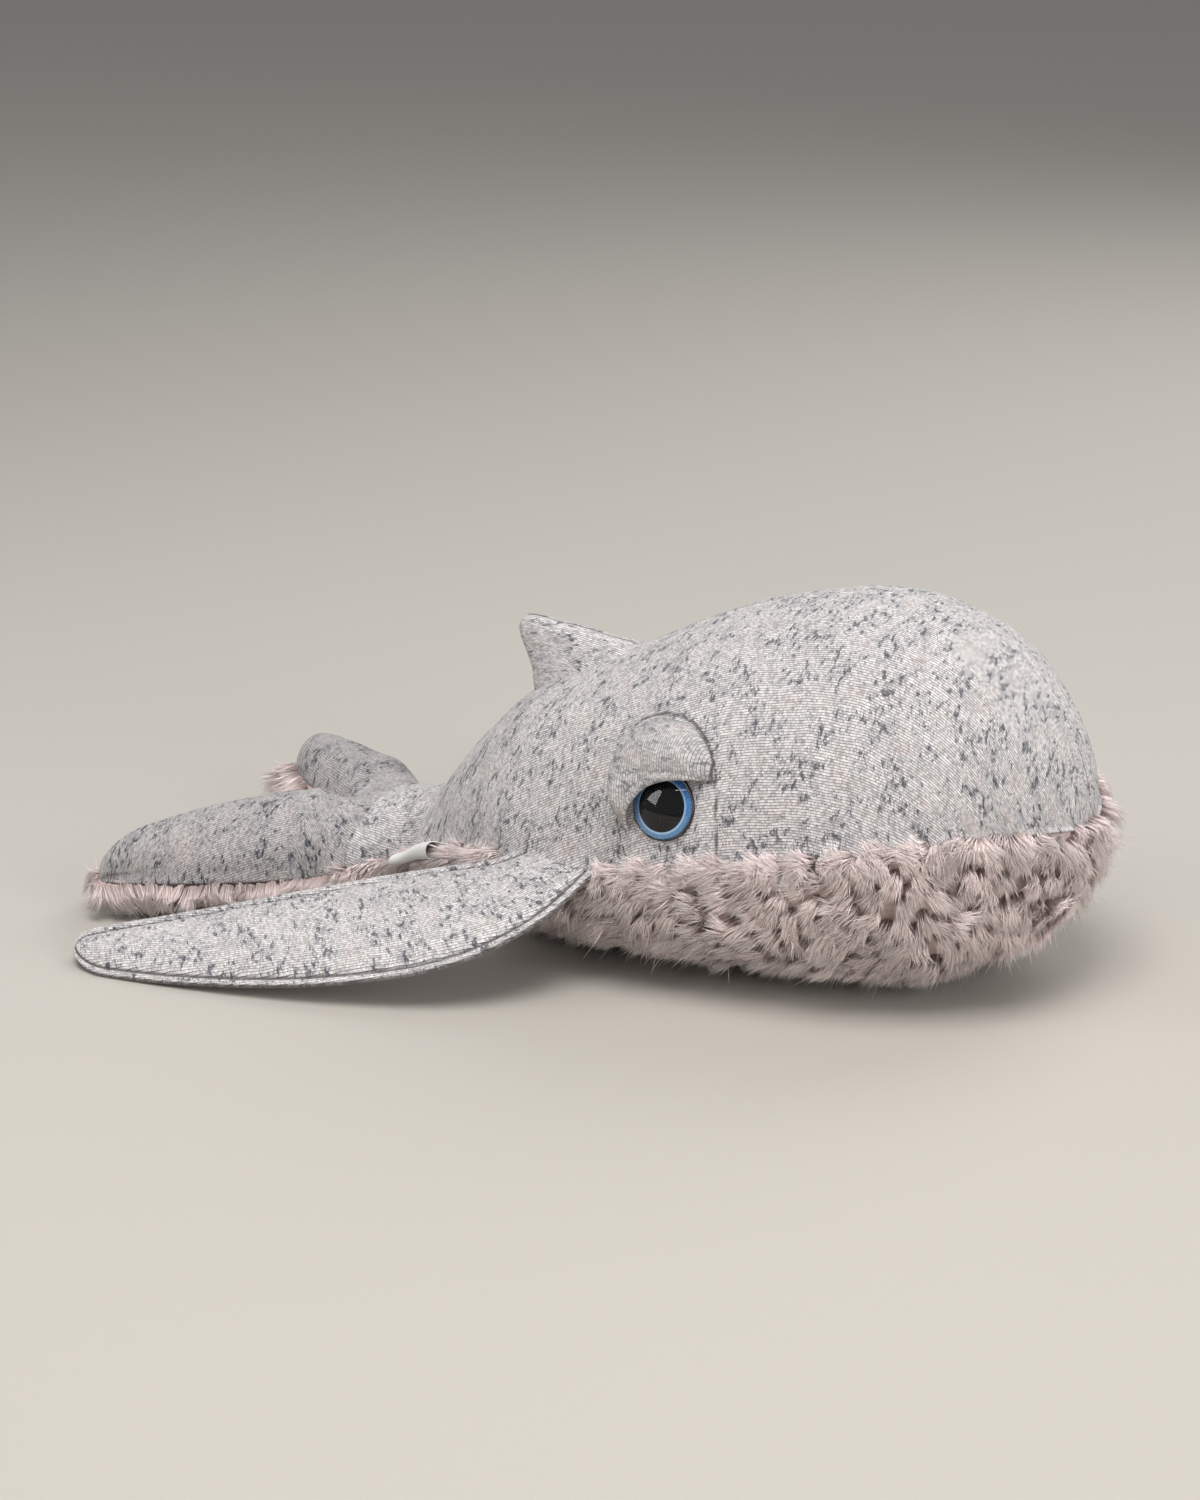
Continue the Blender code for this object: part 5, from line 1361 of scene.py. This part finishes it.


# The body's filling is thinner at its rear end, and so is the neck's all along, so that both
# stay inside the knit where it folds in at the neck.
rear_thinned = 0.003 + 0.011 * np.exp(-np.arange(90) / 4.0)[:, None, None]
body = body_rings(-0.154, 0.183, 90)
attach(wadding("body_wadding", body, "body_stuffing", rear_thinned), "torso")
neck = wadding("neck_wadding", body_rings(-0.206, -0.156, 24)[::-1], "tail_neck", 0.026)
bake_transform(neck)
halves = [tail_skin(120, 41, side) for side in SIDES.values()]
(right, low_right), (left, low_left) = [[grid[2:34] for grid in half] for half in halves]
fork = [right[:, :-1], left[:, :0:-1], low_left[:, :-1], low_right[:, :0:-1]]
fork = np.concatenate(fork, axis=1)
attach(wadding("fork_wadding", fork, "tail_fork_stuffing", 0.0045), "tail_fork")
for (side_name, side), (top, low) in zip(SIDES.items(), halves):
    rings = np.concatenate([top[36:-6, :-1], low[36:-6, :0:-1]], axis=1)
    lump = wadding(f"{side_name}_fluke_wadding", rings, f"{side_name}_fluke_stuffing")
    fluke_bend(lump)
    lead, trail, up, puff = flipper_blade(side, 260)
    lead, trail, puff = lead[8:240:4], trail[8:240:4], puff[8:240:4, None]
    chord = np.linalg.norm(trail - lead, axis=-1)[:, None]
    rim = (FLIPPER_RIM + 0.001) / chord
    across = rim + (1 - 2 * rim) * (0.5 - 0.5 * np.cos(np.linspace(0, math.pi, 30)))
    flat = lead[:, None] + across[..., None] * (trail - lead)[:, None]
    lift = blade_height(np.minimum(across, 1 - across) * chord, puff) - 0.0011
    lift = np.maximum(lift, 0.0002)[..., None] * up
    rings = np.concatenate([(flat + lift)[:, :-1], (flat - lift)[:, :0:-1]], axis=1)
    pad = wadding(f"{side_name}_flipper_wadding", rings, f"{side_name}_flipper_pad", 0.0)
    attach(pad, f"{side_name}_flipper")
share = np.linspace(0.12, 0.96, 24)
angle = np.linspace(0, 2 * math.pi, 48, endpoint=False)
front, rear, half = fin_sizes(share)
middle = FIN_PLACE + (share * FIN_RISE)[:, None] * fin_up
middle = middle + ((front + rear) / 2)[:, None] * fin_along
rings = middle[:, None] + ((front - rear) / 2)[:, None, None] * np.cos(angle)[:, None] * fin_along
rings = rings + (half[:, None] * np.sin(angle))[..., None] * np.array((0.0, 1.0, 0.0))
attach(wadding("fin_wadding", rings, "dorsal_fin_stuffing", 0.0022), "dorsal_fin")


low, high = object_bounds()
